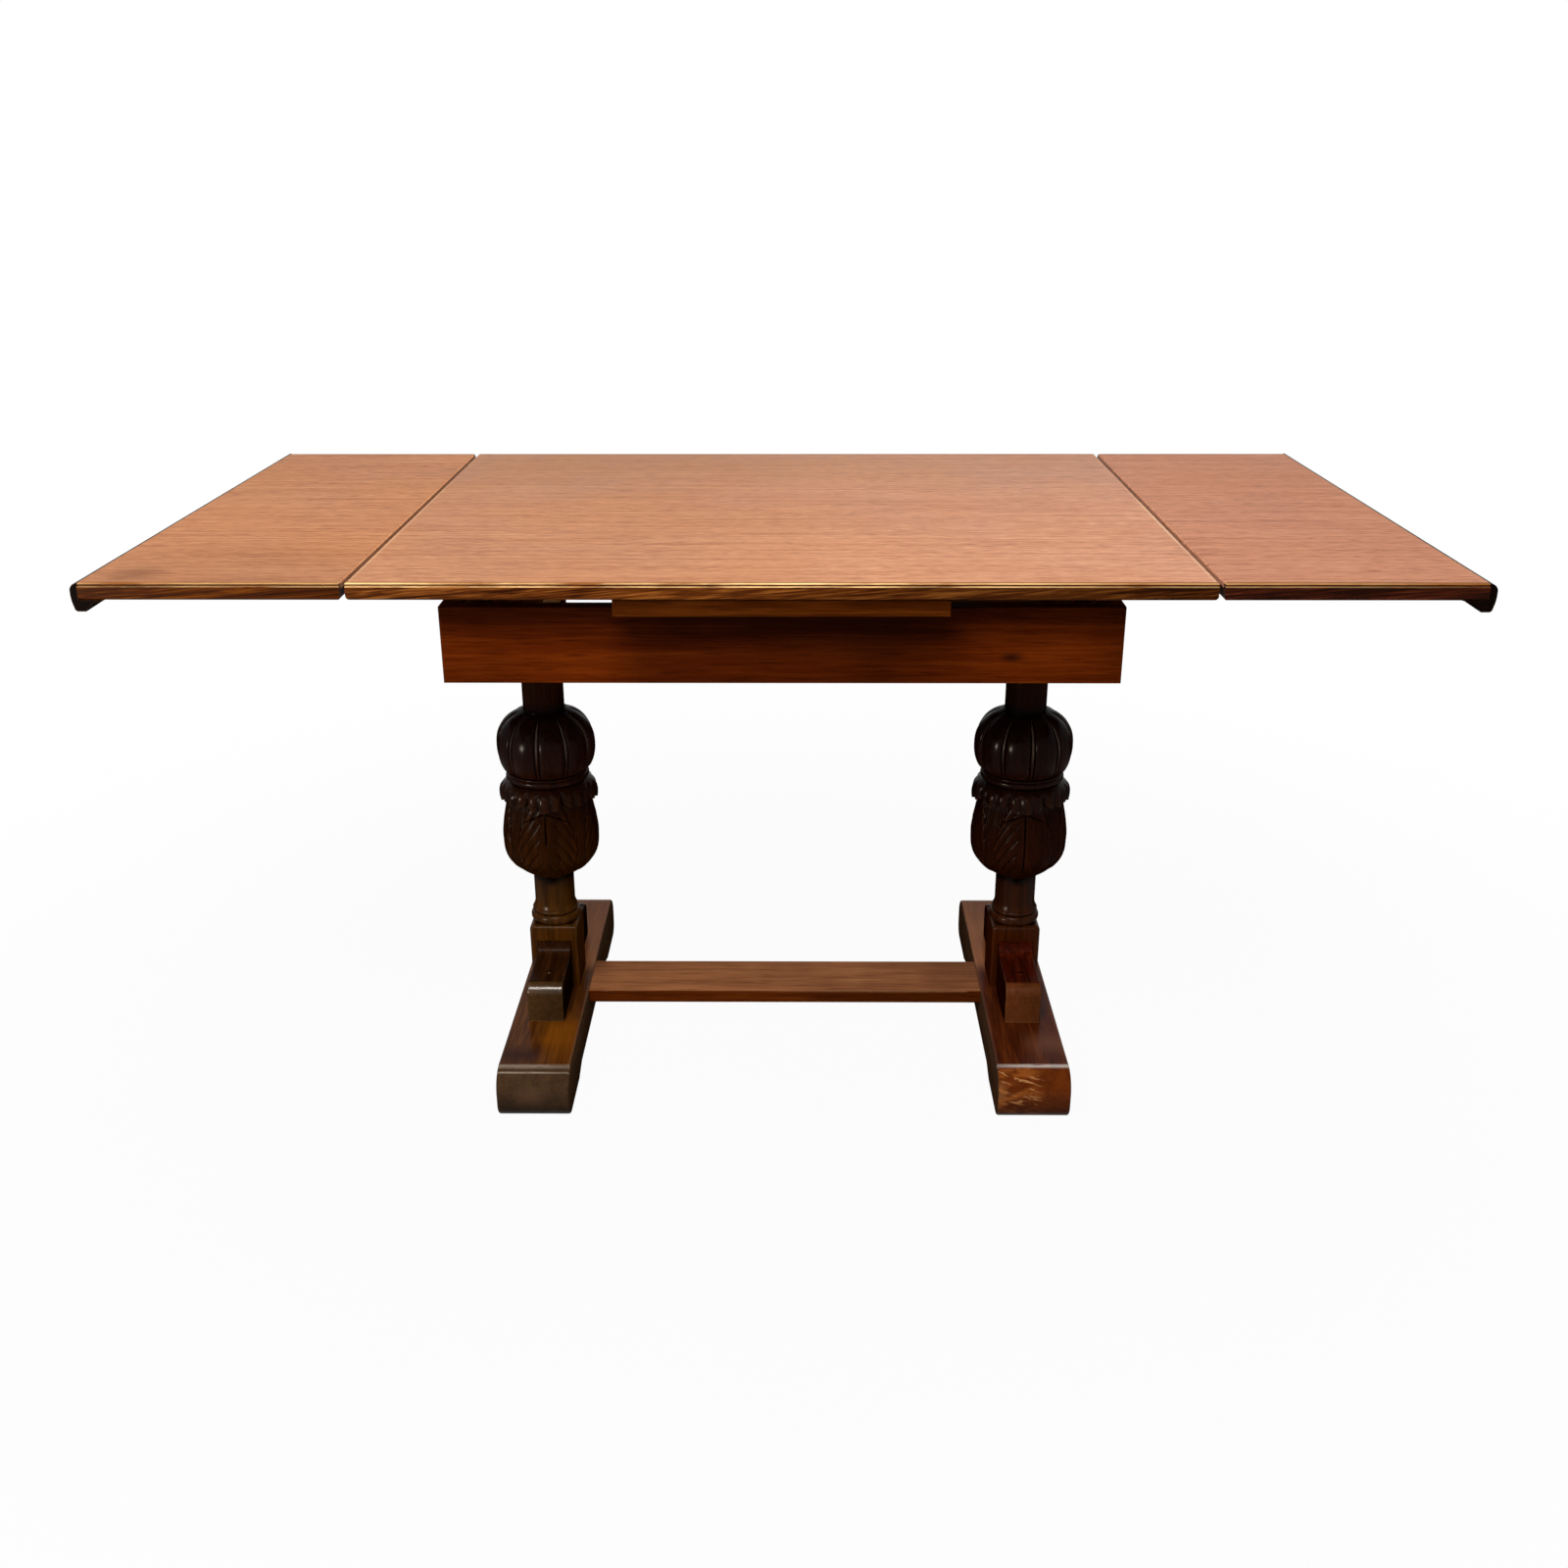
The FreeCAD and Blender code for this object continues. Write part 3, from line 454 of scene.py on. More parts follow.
def lipping(name, tones, right_shade, gold_share, gold_span):
    """Moulded edge: two golden lines, worn and partly painted highlight, with a painted shadow in the quirk
    between them, dark face below.
    """
    paint = Paint(name)
    grain = Grain(paint, "X", across=220.0, along=9.0, waver=1.2, tilted=paint.rotated(LIPPING_SLOPE))
    face = grain.colours(*tones, reach=0.09)
    face = paint.times(face, paint.spread(paint.x, *FACE_SPAN, 1.0, right_shade))
    wobble = paint.product(paint.maths("SUBTRACT", grain.streak, 0.5), EDGE_WOBBLE)
    depth = paint.maths("ADD", millimetres_down(paint), wobble)
    # Golden lines, partly wear and partly painted highlight, along the arris and below it
    wear_and_highlight = paint.spread(paint.noise(paint.scaled((9.0, 60.0, 60.0)), 1.0, 4.0, 0.6), 0.30, 0.62)
    wear_and_highlight = paint.product(wear_and_highlight, paint.spread(paint.x, *gold_span, 1.0, 0.3), gold_share)
    second_line = paint.product(paint.between(depth, *SECOND_LINE, LINE_SOFT), wear_and_highlight)
    colour = paint.mixed(second_line, face, WORN_GOLD_HIGHLIGHT)
    # Painted shadow in the quirk between the two lines
    colour = paint.mixed(paint.between(depth, *QUIRK, LINE_SOFT), colour, QUIRK_PAINTED_SHADOW)
    arris = paint.mixed(wear_and_highlight, EDGE_PALE, WORN_GOLD_HIGHLIGHT)
    colour = paint.mixed(paint.spread(depth, *ARRIS_END, 1.0, 0.0), colour, arris)
    flat = paint.times(LIPPING_TOP, paint.spread(grain.tone, 0.38, 0.62, 0.7, 1.3))
    colour = paint.mixed(paint.spread(paint.facing("Z"), 0.95, 0.995), colour, flat)
    return grain.finish(colour, SATIN, 0.15, DULL)


# Boards, rails and aprons

PLAIN_ACROSS = 150.0
WORN_END = 0.004
APRON_SHADE_MIDDLE = (0.10, 0.24)
APRON_RIGHT = (-0.2, 0.35)
APRON_SHADE_UPPER = (frame_bottom + 0.03, frame_bottom + 0.085)
KNOT_PLACE = (0.25, apron_front, frame_bottom + 0.03)
KNOT_SIZE = 0.012
KNOT_SQUASH = (0.6, 1.0, 1.4)


def plain_wood(name, letter, tones, worn, gloss, roughness=WAXED, upper=None, worn_share=0.7,
               worn_half=NOWHERE):
    """Straight-grained wood with rubbed edges and, where it is given, a paler tone painted on its upper faces
    as sheen.
    """
    paint = Paint(name)
    grain = Grain(paint, letter, PLAIN_ACROSS)
    colour = grain.colours(*tones)
    if upper:
        # Paler tone painted on upper faces as sheen
        upwards = paint.spread(paint.facing("Z"), 0.6, 0.9)
        colour = paint.mixed(upwards, colour, grain.colours(*upper))
    dirt = paint.spread(grain.mottle, 0.35, 0.7, 0.0, 0.45)
    colour = paint.mixed(dirt, colour, tones[0])
    span = paint.between(paint.x, -worn_half, worn_half, WORN_END)
    colour = paint.mixed(paint.product(grain.rubbed_edges(), worn_share, span), colour, worn)
    paint.dull_sides()
    return grain.finish(colour, roughness, 0.2, gloss)


def apron_wood(name):
    """Red-brown apron with painted shade, darker in the middle under the centre board and towards its top
    under the boards, with one knot.
    """
    paint = Paint(name)
    grain = Grain(paint, "X", PLAIN_ACROSS)
    colour = grain.colours(*APRON_TONES)
    # Painted shade: darker in the middle under the centre board and towards the top under the boards
    middle = paint.spread(paint.size(paint.x), *APRON_SHADE_MIDDLE, 0.55, 1.0)
    rightwards = paint.spread(paint.x, *APRON_RIGHT, 1.0, 0.72)
    upper = paint.spread(paint.z, *APRON_SHADE_UPPER, 1.0, 0.74)
    mottled = paint.spread(grain.mottle, 0.3, 0.7, 0.8, 1.2)
    colour = paint.times(colour, paint.product(middle, rightwards, upper, mottled))
    knot = paint.product(paint.near(KNOT_PLACE, KNOT_SIZE, KNOT_SQUASH), 0.8)
    colour = paint.mixed(knot, colour, APRON_KNOT)
    colour = paint.mixed(paint.product(grain.rubbed_edges(), 0.6), colour, APRON_WORN)
    paint.dull_sides()
    return grain.finish(colour, SATIN, 0.2, DEAD)


# Feet and brackets

FOOT_NOSE = 0.23
BRACKET_NOSE = 0.1
NOSE_SOFT = 0.01
PATCH_WOBBLE = 0.03
PATCH_SOFT = (0.010, 0.022)
TOE_SOFT = (0.012, 0.008)
TOE_LEVELS = (0.0, 0.05)
TOE_SHADES = (0.35, 1.25)
SCRATCH_SOFT = 0.014
SCRATCH_LEVELS = (0.014, 0.036)
BARE_DOT = 0.003
RIM_DEPTH = 0.0005


def scratched_toe(paint, grain, across, look):
    """Front of a foot: its own tone, darker towards the floor, with patches and scratches."""
    upwards = paint.spread(paint.z, *TOE_LEVELS, *TOE_SHADES)
    face = paint.times(look["toe"], paint.product(grain.uneven(0.25), upwards))
    for (left, right), (low, high), tint, share in look["toe_patches"]:
        inside = paint.product(paint.between(across, left, right, TOE_SOFT[0]),
                               paint.between(paint.z, low, high, TOE_SOFT[1]), share)
        face = paint.mixed(inside, face, tint)
    scratched = paint.product(paint.between(paint.x, *look["scratches"], SCRATCH_SOFT),
                              paint.spread(paint.z, *SCRATCH_LEVELS, 0.25, 1.0))
    bare = paint.noise(paint.scaled((24.0, 60.0, 90.0), paint.rotated(8.0)), 1.0, 3.0, 0.6, 0.5)
    face = paint.mixed(paint.product(paint.spread(bare, 0.42, 0.6), scratched, 0.7), face, TOE_ORANGE)
    cuts = paint.noise(paint.scaled((34.0, 60.0, 240.0), paint.rotated(-14.0)), 1.0, 3.0, 0.6, 0.5)
    return paint.mixed(paint.product(paint.spread(cuts, 0.55, 0.64), scratched, 0.6), face, FOOT_SCRATCH)


def foot_wood(name, look):
    """Worn foot: patches on top, some of them painted sheen, a scratched toe, outer sides painted darker as
    shade, a paler inner side painted as light and darker towards the floor, painted highlight lines on the
    nose.
    """
    paint = Paint(name)
    grain = Grain(paint, "Y", across=90.0)
    tones = look["tones"]
    colour = grain.colours(*tones)
    wobble = paint.product(paint.maths("SUBTRACT", grain.mottle, 0.5), PATCH_WOBBLE)
    across = paint.maths("ADD", paint.x, wobble)
    along = paint.maths("ADD", paint.y, wobble)
    upper = paint.product(paint.spread(paint.facing("Z"), 0.5, 0.9),
                          paint.spread(grain.tone, 0.4, 0.6, 0.75, 1.0))
    # Patches on the tops of the feet: stains, and painted sheen far back and near the right toe
    for (left, right), (near, far), tint, share in look["top_patches_and_sheen"]:
        inside = paint.product(paint.between(across, left, right, PATCH_SOFT[0]),
                               paint.between(along, near, far, PATCH_SOFT[1]), share, upper)
        colour = paint.mixed(inside, colour, tint)
    front = paint.spread(paint.facing("Y"), -0.05, -0.3)
    colour = paint.mixed(front, colour, scratched_toe(paint, grain, across, look))
    colour = paint.mixed(paint.product(grain.rubbed_edges(), 0.5), colour, tones[2])
    # Outer sides painted darker as shade; inner sides painted a paler grey-brown as light, darker towards the
    # floor
    outward = paint.product(paint.facing("X"), paint.maths("SIGN", paint.x))
    colour = paint.times(colour, paint.spread(outward, 0.5, 0.9, 1.0, 0.5))
    dusty = paint.times(FOOT_SIDE_PAINTED_LIGHT, grain.uneven(0.3))
    dusty = paint.times(dusty, paint.spread(paint.z, 0.0, foot_top, 0.6, 1.3))
    colour = paint.mixed(paint.spread(outward, -0.5, -0.9, 0.0, 0.8), colour, dusty)
    # Highlight lines painted along the nose in a pale colour, standing in for the polish mirroring a bright
    # room
    broken = paint.spread(paint.noise(paint.scaled((60.0, 400.0, 200.0)), 1.0, 3.0), 0.28, 0.5, 0.45, 1.0)
    fading = paint.spread(paint.x, *look["painted_highlight_fade"])
    above = paint.spread(paint.facing("Z"), 0.2, 0.5)
    for near, far, soft, share in look["painted_highlight_lines"]:
        line = paint.product(paint.between(paint.y, near, far, soft), broken, fading, share, above)
        colour = paint.mixed(line, colour, look["shine"])
    paint.glossy_nose(plain=0.06, on_nose=0.0, from_y=FOOT_NOSE)
    return grain.finish(colour, POLISHED, 0.12, VARNISH)


def bracket_wood(name, node, tones, front_tone, shine):
    """Bracket of a foot: dark on top, its nose rubbed paler, with a bright line along it, its sides painted
    darker as shade.
    """
    paint = Paint(name)
    grain = Grain(paint, "Y", across=110.0)
    colour = grain.colours(*tones)
    beyond = paint.spread(paint.size(paint.y), BRACKET_NOSE - NOSE_SOFT, BRACKET_NOSE)
    front = paint.product(paint.spread(paint.facing("Y"), -0.05, -0.4), beyond)
    low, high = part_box(node)
    rightwards = paint.spread(paint.x, low.x, high.x, 1.25, 0.8)
    plain = paint.times(front_tone, paint.product(grain.uneven(0.25), rightwards))
    colour = paint.mixed(front, colour, plain)
    rubbed = paint.product(paint.arrises(EDGE_WIDTH), paint.spread(grain.mottle, 0.34, 0.54), beyond, 0.35)
    colour = paint.mixed(rubbed, colour, FOOT_WORN)
    # Sides painted darker as shade
    colour = paint.times(colour, paint.spread(paint.sideways(), 0.5, 0.9, 1.0, 0.45))
    paint.glossy_nose(plain=0.02, on_nose=shine, from_y=BRACKET_NOSE)
    return grain.finish(colour, POLISHED, 0.12, VARNISH)


def waxed_screw(name):
    """Screw heads stained like the brackets around them; the front one on the left has lost its wax."""
    paint = Paint(name)
    spots = paint.noise(paint.coordinates, 400.0, 3.0)
    on_right = paint.spread(paint.x, -0.01, 0.01)
    colour = paint.mixed(on_right, LEFT_BRACKET_TONES[1], RIGHT_BRACKET_TONES[1])
    colour = paint.times(colour, paint.spread(spots, 0.3, 0.7, 0.7, 1.3))
    places = [vertex.co for vertex in nodes["bracket_screws"].data.vertices]
    head = [place for place in places if place.x < 0 and place.y < 0]
    head_top = max(place.z for place in head)
    rim = [place for place in head if place.z > head_top - RIM_DEPTH]
    centre = sum(rim, Vector()) / len(rim)
    colour = paint.mixed(paint.spread(paint.near(centre, BARE_DOT), 0.2, 0.5), colour, DOT_PALE)
    paint.dull_sides(level=0.05)
    rough = paint.spread(spots, 0.3, 0.7, *WAXED_METAL)
    return paint.finish(colour, rough, paint.dent(spots, 0.1, SPOT_DEPTH), DULL)


def plain_steel(name):
    """Dull screw steel with a little tarnish."""
    paint = Paint(name)
    spots = paint.noise(paint.coordinates, 600.0, 3.0)
    colour = paint.mixed(paint.spread(spots, 0.4, 0.7, 0.0, 0.6), STEEL, EDGE_DEEP)
    paint.shader.inputs["Metallic"].default_value = 1.0
    rough = paint.spread(spots, 0.3, 0.7, *METAL)
    return paint.finish(colour, rough, paint.dent(spots, 0.1, SPOT_DEPTH), STEEL_INDEX)


def carved_wood(name, tones):
    """Varnished carving with a tone for each level: darker in the cuts as painted shade, rubbed paler on the
    high places, with painted highlights along the reed crests.
    """
    paint = Paint(name)
    grain = Grain(paint, "Z", across=120.0, along=8.0)
    span = frame_bottom - foot_top
    place = paint.maths("DIVIDE", paint.maths("SUBTRACT", paint.z, foot_top), span)
    colour = paint.ramp(place, [((level - foot_top) / span, tone) for level, tone in zip(LEVELS, tones)])
    colour = paint.times(colour, grain.uneven(0.45))
    # Painted shade in the cuts of the carving; the high places rubbed paler
    relief = paint.node("Attribute", attribute_name="relief").outputs["Fac"]
    cuts = paint.spread(relief, 0.22, 0.47, 0.2, 1.0)
    heights = paint.spread(relief, 0.53, 0.75, 1.0, 1.9)
    colour = paint.times(colour, paint.product(cuts, heights))
    # Highlight painted along the crests of the reeds
    crest = paint.node("Attribute", attribute_name="crest").outputs["Fac"]
    patchy = paint.spread(grain.mottle, 0.38, 0.56, 0.2, 0.75)
    colour = paint.mixed(paint.product(crest, patchy), colour, CREST_PAINTED_HIGHLIGHT)
    cup = paint.between(paint.z, CUP_BOTTOM, CUP_TOP - DUSTY_CUP_END, DUSTY_CUP_SOFT)
    neck = paint.spread(paint.z, COVER_TOP - DUSTY_NECK, COVER_TOP)
    dusty = paint.maths("MAXIMUM", cup, neck)
    paint.dull_sides(level=0.06, share=paint.spread(dusty, 0.0, 1.0, 1.0, 0.3))
    return grain.finish(colour, POLISHED, 0.06, VARNISH)


def dress(material, *names):
    """Give CAD nodes a finish in all their material slots."""
    for name in names:
        mesh = nodes[name].data
        for index in range(len(mesh.materials)):
            mesh.materials[index] = material


# Carved leg

ROUND_STEPS = 360
LEG_BLOCK_HALF = 0.033
LEG_BLOCK_HEIGHT = 0.093
LEG_BLOCK_TOP = foot_top + LEG_BLOCK_HEIGHT
LEG_BLOCK_ROUND = 0.005
LEG_NECK = 0.0274
RING_CORE = 0.029
TORUS_HEIGHT = 0.014
TORUS_REACH = 0.005
RING_GAP = 0.001
SMALL_BEAD = 0.0055
SMALL_REACH = 0.0025
FLARE_HEIGHT = 0.011
FLARE_RADIUS = 0.0302
NECK_BOTTOM = LEG_BLOCK_TOP + TORUS_HEIGHT + RING_GAP + SMALL_BEAD + FLARE_HEIGHT
NECK_HEIGHT = 0.040
CUP_BOTTOM = NECK_BOTTOM + NECK_HEIGHT
CUP_HEIGHT = 0.119
CUP_RADIUS = 0.0630
CUP_TOP = CUP_BOTTOM + CUP_HEIGHT
COLLAR_HEIGHT = 0.022
COLLAR_TOP = CUP_TOP + COLLAR_HEIGHT
WAIST_TORUS = 0.0085
WAIST_TORUS_REACH = 0.0032
WAIST_BEAD = 0.0035
WAIST_BEAD_REACH = 0.0018
WAIST_RADIUS = 0.0526
COVER_BOTTOM = COLLAR_TOP + WAIST_TORUS + WAIST_BEAD
COVER_HEIGHT = 0.083
COVER_RADIUS = 0.0622
COVER_TOP = COVER_BOTTOM + COVER_HEIGHT
COVER_FILLET = 0.0015
UPPER_BLOCK_HEIGHT = 0.044
UPPER_BLOCK = frame_bottom - UPPER_BLOCK_HEIGHT
UPPER_RINGS = UPPER_BLOCK - (NECK_BOTTOM - LEG_BLOCK_TOP)
CUP_SHARES = ((0.0, 0.43), (0.06, 0.62), (0.20, 0.88), (0.48, 1.0), (0.68, 0.965), (0.86, 0.90), (1.0, 0.855))
COVER_SHARES = ((0.0, 0.845), (0.14, 0.94), (0.41, 1.0), (0.70, 0.92), (0.88, 0.74), (1.0, 0.50))
BLOCK_POWER = 26.0
LOBE_COUNT = 10
LOBE_SHARE = 0.43
LOBE_SWELL = 0.0040
LOBE_CUT = 0.0024
LOBE_CUT_WIDTH = 0.0011
LOBE_RISE = (0.0, 0.07)
LOBE_FALL = (1.0, 0.93)
REED_SWELL = 0.0014
CREST_WIDTH = 0.0016
CREST_RISE = (0.25, 0.6)
CREST_FALL = (0.98, 0.85)
LEAF_TURN = 90.0
LEAF_WIDEST = 38.0
LEAF_WIDTHS = ((0.0, 18.0), (0.12, 28.0), (0.35, LEAF_WIDEST), (0.62, 36.0), (0.85, 28.0), (1.0, 22.0))
LEAF_EDGE = 3.0
SCALLOP = 0.02
SCALLOP_COUNT = 5
LEAF_RAISE = 0.0020
VEIN_CUT = 0.0026
VEIN_WIDTH = 0.0016
VEIN_RISE = 0.08
FEATHER_COUNT = 6.0
FEATHER_SLOPE = 2.8
FEATHER_BEND = 1.4
FEATHER_CUT = 0.0018
FEATHER_SIDE = (6.0, 12.0)
FEATHER_RISE = (0.06, 0.2)
FLUTE_PITCH = 3.75
FLUTE_CUT = 0.0013
FLUTE_RISE = (0.05, 0.2)
TENT_TOP = 0.90
TENT_DROP = 0.11
TENT_HALF = 28.0
TENT_CUT = 0.0022
TENT_WIDTH = 0.014
TIP_SHAPE = ((0.0, 0.95), (0.2, 1.0), (0.45, 0.98), (0.66, 0.82), (0.82, 0.52), (0.93, 0.22), (1.0, 0.0))
TIP_REACH = 0.0140
TIP_HALF = 22.5
BIG_TIP_DROP = 0.0095
SMALL_TIP_DROP = 0.0055
BIG_TIP_LOW = CUP_TOP - BIG_TIP_DROP
SMALL_TIP_LOW = CUP_TOP - SMALL_TIP_DROP
TIP_EDGE_RISE = 0.005
TIP_LOBE = 15.0
TIP_LOBE_CUT = 0.0030
TIP_LOBE_RISE = 0.003
TIP_SIDE_LOSS = 0.25
TIP_SMOOTH = (0.55, 0.95)
TIP_SHARP = 0.0006
TIP_MARGIN = 0.002
LEDGE = 0.0002
FRONT_ANGLE = -90.0
SHARP_ANGLE = 50.0
RELIEF_SPAN = 0.004
RELIEF_BLUR = 8
DUSTY_CUP_END = 0.012
DUSTY_CUP_SOFT = 0.004
DUSTY_NECK = 0.02


def smooth(value, low, high):
    share = np.clip((value - low) / (high - low), 0.0, 1.0)
    return share * share * (3 - 2 * share)


def through(points, value):
    """Smooth curve through a few points, by cubic pieces with matching slopes."""
    xs = np.array([point[0] for point in points])
    ys = np.array([point[1] for point in points])
    slopes = np.gradient(ys, xs)
    value = np.clip(value, xs[0], xs[-1])
    index = np.clip(np.searchsorted(xs, value) - 1, 0, len(xs) - 2)
    width = xs[index + 1] - xs[index]
    t = (value - xs[index]) / width
    start = ys[index] * (1 + 2 * t) * (1 - t) ** 2 + slopes[index] * width * t * (1 - t) ** 2
    end = ys[index + 1] * t * t * (3 - 2 * t) + slopes[index + 1] * width * t * t * (t - 1)
    return start + end


def bead(z, low, high, radius, reach):
    """Half-round swelling of a turned profile."""
    offset = np.clip((z - (low + high) / 2) / ((high - low) / 2), -1.0, 1.0)
    return radius + reach * np.sqrt(1 - offset ** 2)


def within(z, low, high):
    return (z >= low) & (z < high)


def ring_radius(step):
    """Mouldings between a square block and the neck, by the distance from the block."""
    bead_from = TORUS_HEIGHT + RING_GAP
    flare_from = bead_from + SMALL_BEAD
    flare = np.clip((step - flare_from) / FLARE_HEIGHT, 0.0, 1.0)
    radius = LEG_NECK + (FLARE_RADIUS - LEG_NECK) * (1 - flare) ** 2
    radius = np.where(step < flare_from, bead(step, bead_from, flare_from, RING_CORE, SMALL_REACH), radius)
    radius = np.where(step < bead_from, RING_CORE, radius)
    return np.where(step < TORUS_HEIGHT, bead(step, 0.0, TORUS_HEIGHT, RING_CORE, TORUS_REACH), radius)


def turned_radius(z):
    """Radius of the turned leg at each height, before any carving."""
    radius = ring_radius(np.minimum(z - LEG_BLOCK_TOP, UPPER_BLOCK - z))
    torus_top = COLLAR_TOP + WAIST_TORUS
    cup_rim = CUP_RADIUS * CUP_SHARES[-1][1]
    bands = (
        (CUP_BOTTOM, CUP_TOP, CUP_RADIUS * through(CUP_SHARES, (z - CUP_BOTTOM) / CUP_HEIGHT)),
        (CUP_TOP, COLLAR_TOP, cup_rim + (WAIST_RADIUS - cup_rim) * (z - CUP_TOP) / (COLLAR_TOP - CUP_TOP)),
        (COLLAR_TOP, torus_top, bead(z, COLLAR_TOP, torus_top, WAIST_RADIUS, WAIST_TORUS_REACH)),
        (torus_top, COVER_BOTTOM, bead(z, torus_top, COVER_BOTTOM, WAIST_RADIUS, WAIST_BEAD_REACH)),
        (COVER_BOTTOM, COVER_TOP, COVER_RADIUS * through(COVER_SHARES, (z - COVER_BOTTOM) / COVER_HEIGHT)),
        (COVER_TOP, COVER_TOP + COVER_FILLET,
         bead(z, COVER_TOP, COVER_TOP + COVER_FILLET, LEG_NECK + COVER_FILLET, COVER_FILLET / 2)),
    )
    for low, high, values in bands:
        radius = np.where(within(z, low, high), values, radius)
    return radius


def square_radius(angle, z):
    """Square ends of the leg, their inner edges rounded over."""
    depth = np.maximum(LEG_BLOCK_TOP - z, z - UPPER_BLOCK)
    left = 1 - np.clip(depth / LEG_BLOCK_ROUND, 0.0, 1.0)
    half = LEG_BLOCK_HALF - LEG_BLOCK_ROUND * (1 - np.sqrt(1 - left ** 2))
    cosine, sine = np.abs(np.cos(angle)), np.abs(np.sin(angle))
    return half / (cosine ** BLOCK_POWER + sine ** BLOCK_POWER) ** (1 / BLOCK_POWER)


def wrapped(degrees, turn):
    """Angle to the nearest multiple of a turn."""
    return (degrees + turn / 2) % turn - turn / 2


def groove(distance, width):
    return np.clip(1 - np.abs(distance) / width, 0.0, 1.0)


def ridges(phase):
    """0 on round ridges, falling to -1 in the sharp cuts between them."""
    return np.abs(np.sin(np.pi * phase)) - 1


def lobe_relief(degrees, z, lobe_turn):
    """Melon lobes of the cover, parted by narrow reeds between fine double cuts."""
    height = (z - COVER_BOTTOM) / COVER_HEIGHT
    turn = 360.0 / LOBE_COUNT
    offset = np.abs(wrapped(degrees - lobe_turn - turn / 2, turn)) / turn
    arc = np.radians((offset - LOBE_SHARE) * turn) * COVER_RADIUS
    lobe = LOBE_SWELL * np.sqrt(np.clip(1 - (offset / LOBE_SHARE) ** 2, 0.0, 1.0))
    reed = REED_SWELL * np.sqrt(np.clip(1 - ((0.5 - offset) / (0.5 - LOBE_SHARE)) ** 2, 0.0, 1.0))
    relief = np.where(offset < LOBE_SHARE, lobe, reed) - LOBE_CUT * groove(arc, LOBE_CUT_WIDTH)
    return relief * smooth(height, *LOBE_RISE) * smooth(height, *LOBE_FALL)


def reed_crests(degrees, z, lobe_turn):
    """1 along the crests of the reeds, on the upper part of the cover, where a highlight is painted."""
    height = (z - COVER_BOTTOM) / COVER_HEIGHT
    arc = np.radians(wrapped(degrees - lobe_turn, 360.0 / LOBE_COUNT)) * COVER_RADIUS
    return groove(arc, CREST_WIDTH) * smooth(height, *CREST_RISE) * smooth(height, *CREST_FALL)


def leaf_relief(degrees, z, carving):
    """Four big leaves on the cup: vein, feathered cuts, scalloped edges, flutes between the leaves."""
    height = np.clip((z - CUP_BOTTOM) / CUP_HEIGHT, 0.0, 1.0)
    offset = wrapped(degrees - carving["leaf_turn"], LEAF_TURN)
    side = np.abs(offset)
    width = through(LEAF_WIDTHS, height) * (1 + SCALLOP * np.sin(height * 2 * np.pi * SCALLOP_COUNT))
    inside = 1 - smooth(side, width - LEAF_EDGE, width)
    phase = height * FEATHER_COUNT + FEATHER_SLOPE * (side / LEAF_WIDEST) ** FEATHER_BEND
    feather = ridges(phase) ** 2 * smooth(side, *FEATHER_SIDE) * smooth(height, *FEATHER_RISE)
    feather = FEATHER_CUT * feather * np.where(offset < 0, 1.0, carving["right_feathers"])
    vein = groove(np.radians(offset) * CUP_RADIUS, VEIN_WIDTH)
    vein = vein * smooth(height, carving["vein_low"], carving["vein_low"] + VEIN_RISE)
    tent_line = TENT_TOP - TENT_DROP * side / TENT_HALF
    tent = TENT_CUT * groove(height - tent_line, TENT_WIDTH) * (side < TENT_HALF)
    flutes = FLUTE_CUT * ridges((LEAF_TURN / 2 - side) / FLUTE_PITCH + 0.5) * smooth(height, *FLUTE_RISE)
    leaf = LEAF_RAISE - feather - VEIN_CUT * vein - tent
    return inside * leaf + (1 - inside) * flutes


def tip_radius(degrees, z, start, low_edge):
    """Outer surface of the curled leaf tips that flare down from the waist to a sharp, lobed lip."""
    offset = wrapped(degrees - start, LEAF_TURN)
    share = np.clip(np.abs(offset) / TIP_HALF, 0.0, 1.0)
    lobes = ridges(offset / TIP_LOBE + 0.5)
    low = low_edge + TIP_EDGE_RISE * share ** 2 - TIP_LOBE_RISE * lobes
    up = np.clip((z - low) / (COLLAR_TOP - low), 0.0, 1.0)
    reach = TIP_REACH * through(TIP_SHAPE, up) * (1 - TIP_SIDE_LOSS * share ** 2)
    reach = reach + TIP_LOBE_CUT * lobes * (1 - smooth(up, *TIP_SMOOTH))
    lip = smooth(z, low - TIP_SHARP, low + TIP_SHARP)
    return np.where(z < low - TIP_SHARP, 0.0, WAIST_RADIUS + reach * lip)


def carved_radius(degrees, z, carving):
    """The turned leg with everything that the carver added to it or took from it."""
    radius = turned_radius(z)
    lobes = lobe_relief(degrees, z, carving["lobe_turn"])
    radius = radius + np.where(within(z, COVER_BOTTOM, COVER_TOP), lobes, 0.0)
    leaves = leaf_relief(degrees, z, carving)
    radius = radius + np.where(within(z, CUP_BOTTOM, CUP_TOP), leaves, 0.0)
    turned = degrees - carving["leaf_turn"]
    big = tip_radius(turned, z, 0.0, BIG_TIP_LOW)
    small = tip_radius(turned, z, LEAF_TURN / 2, SMALL_TIP_LOW)
    tips = np.where(np.abs(wrapped(turned, LEAF_TURN)) < TIP_HALF, big, small)
    return np.where(within(z, CUP_BOTTOM, COLLAR_TOP), np.maximum(radius, tips), radius)


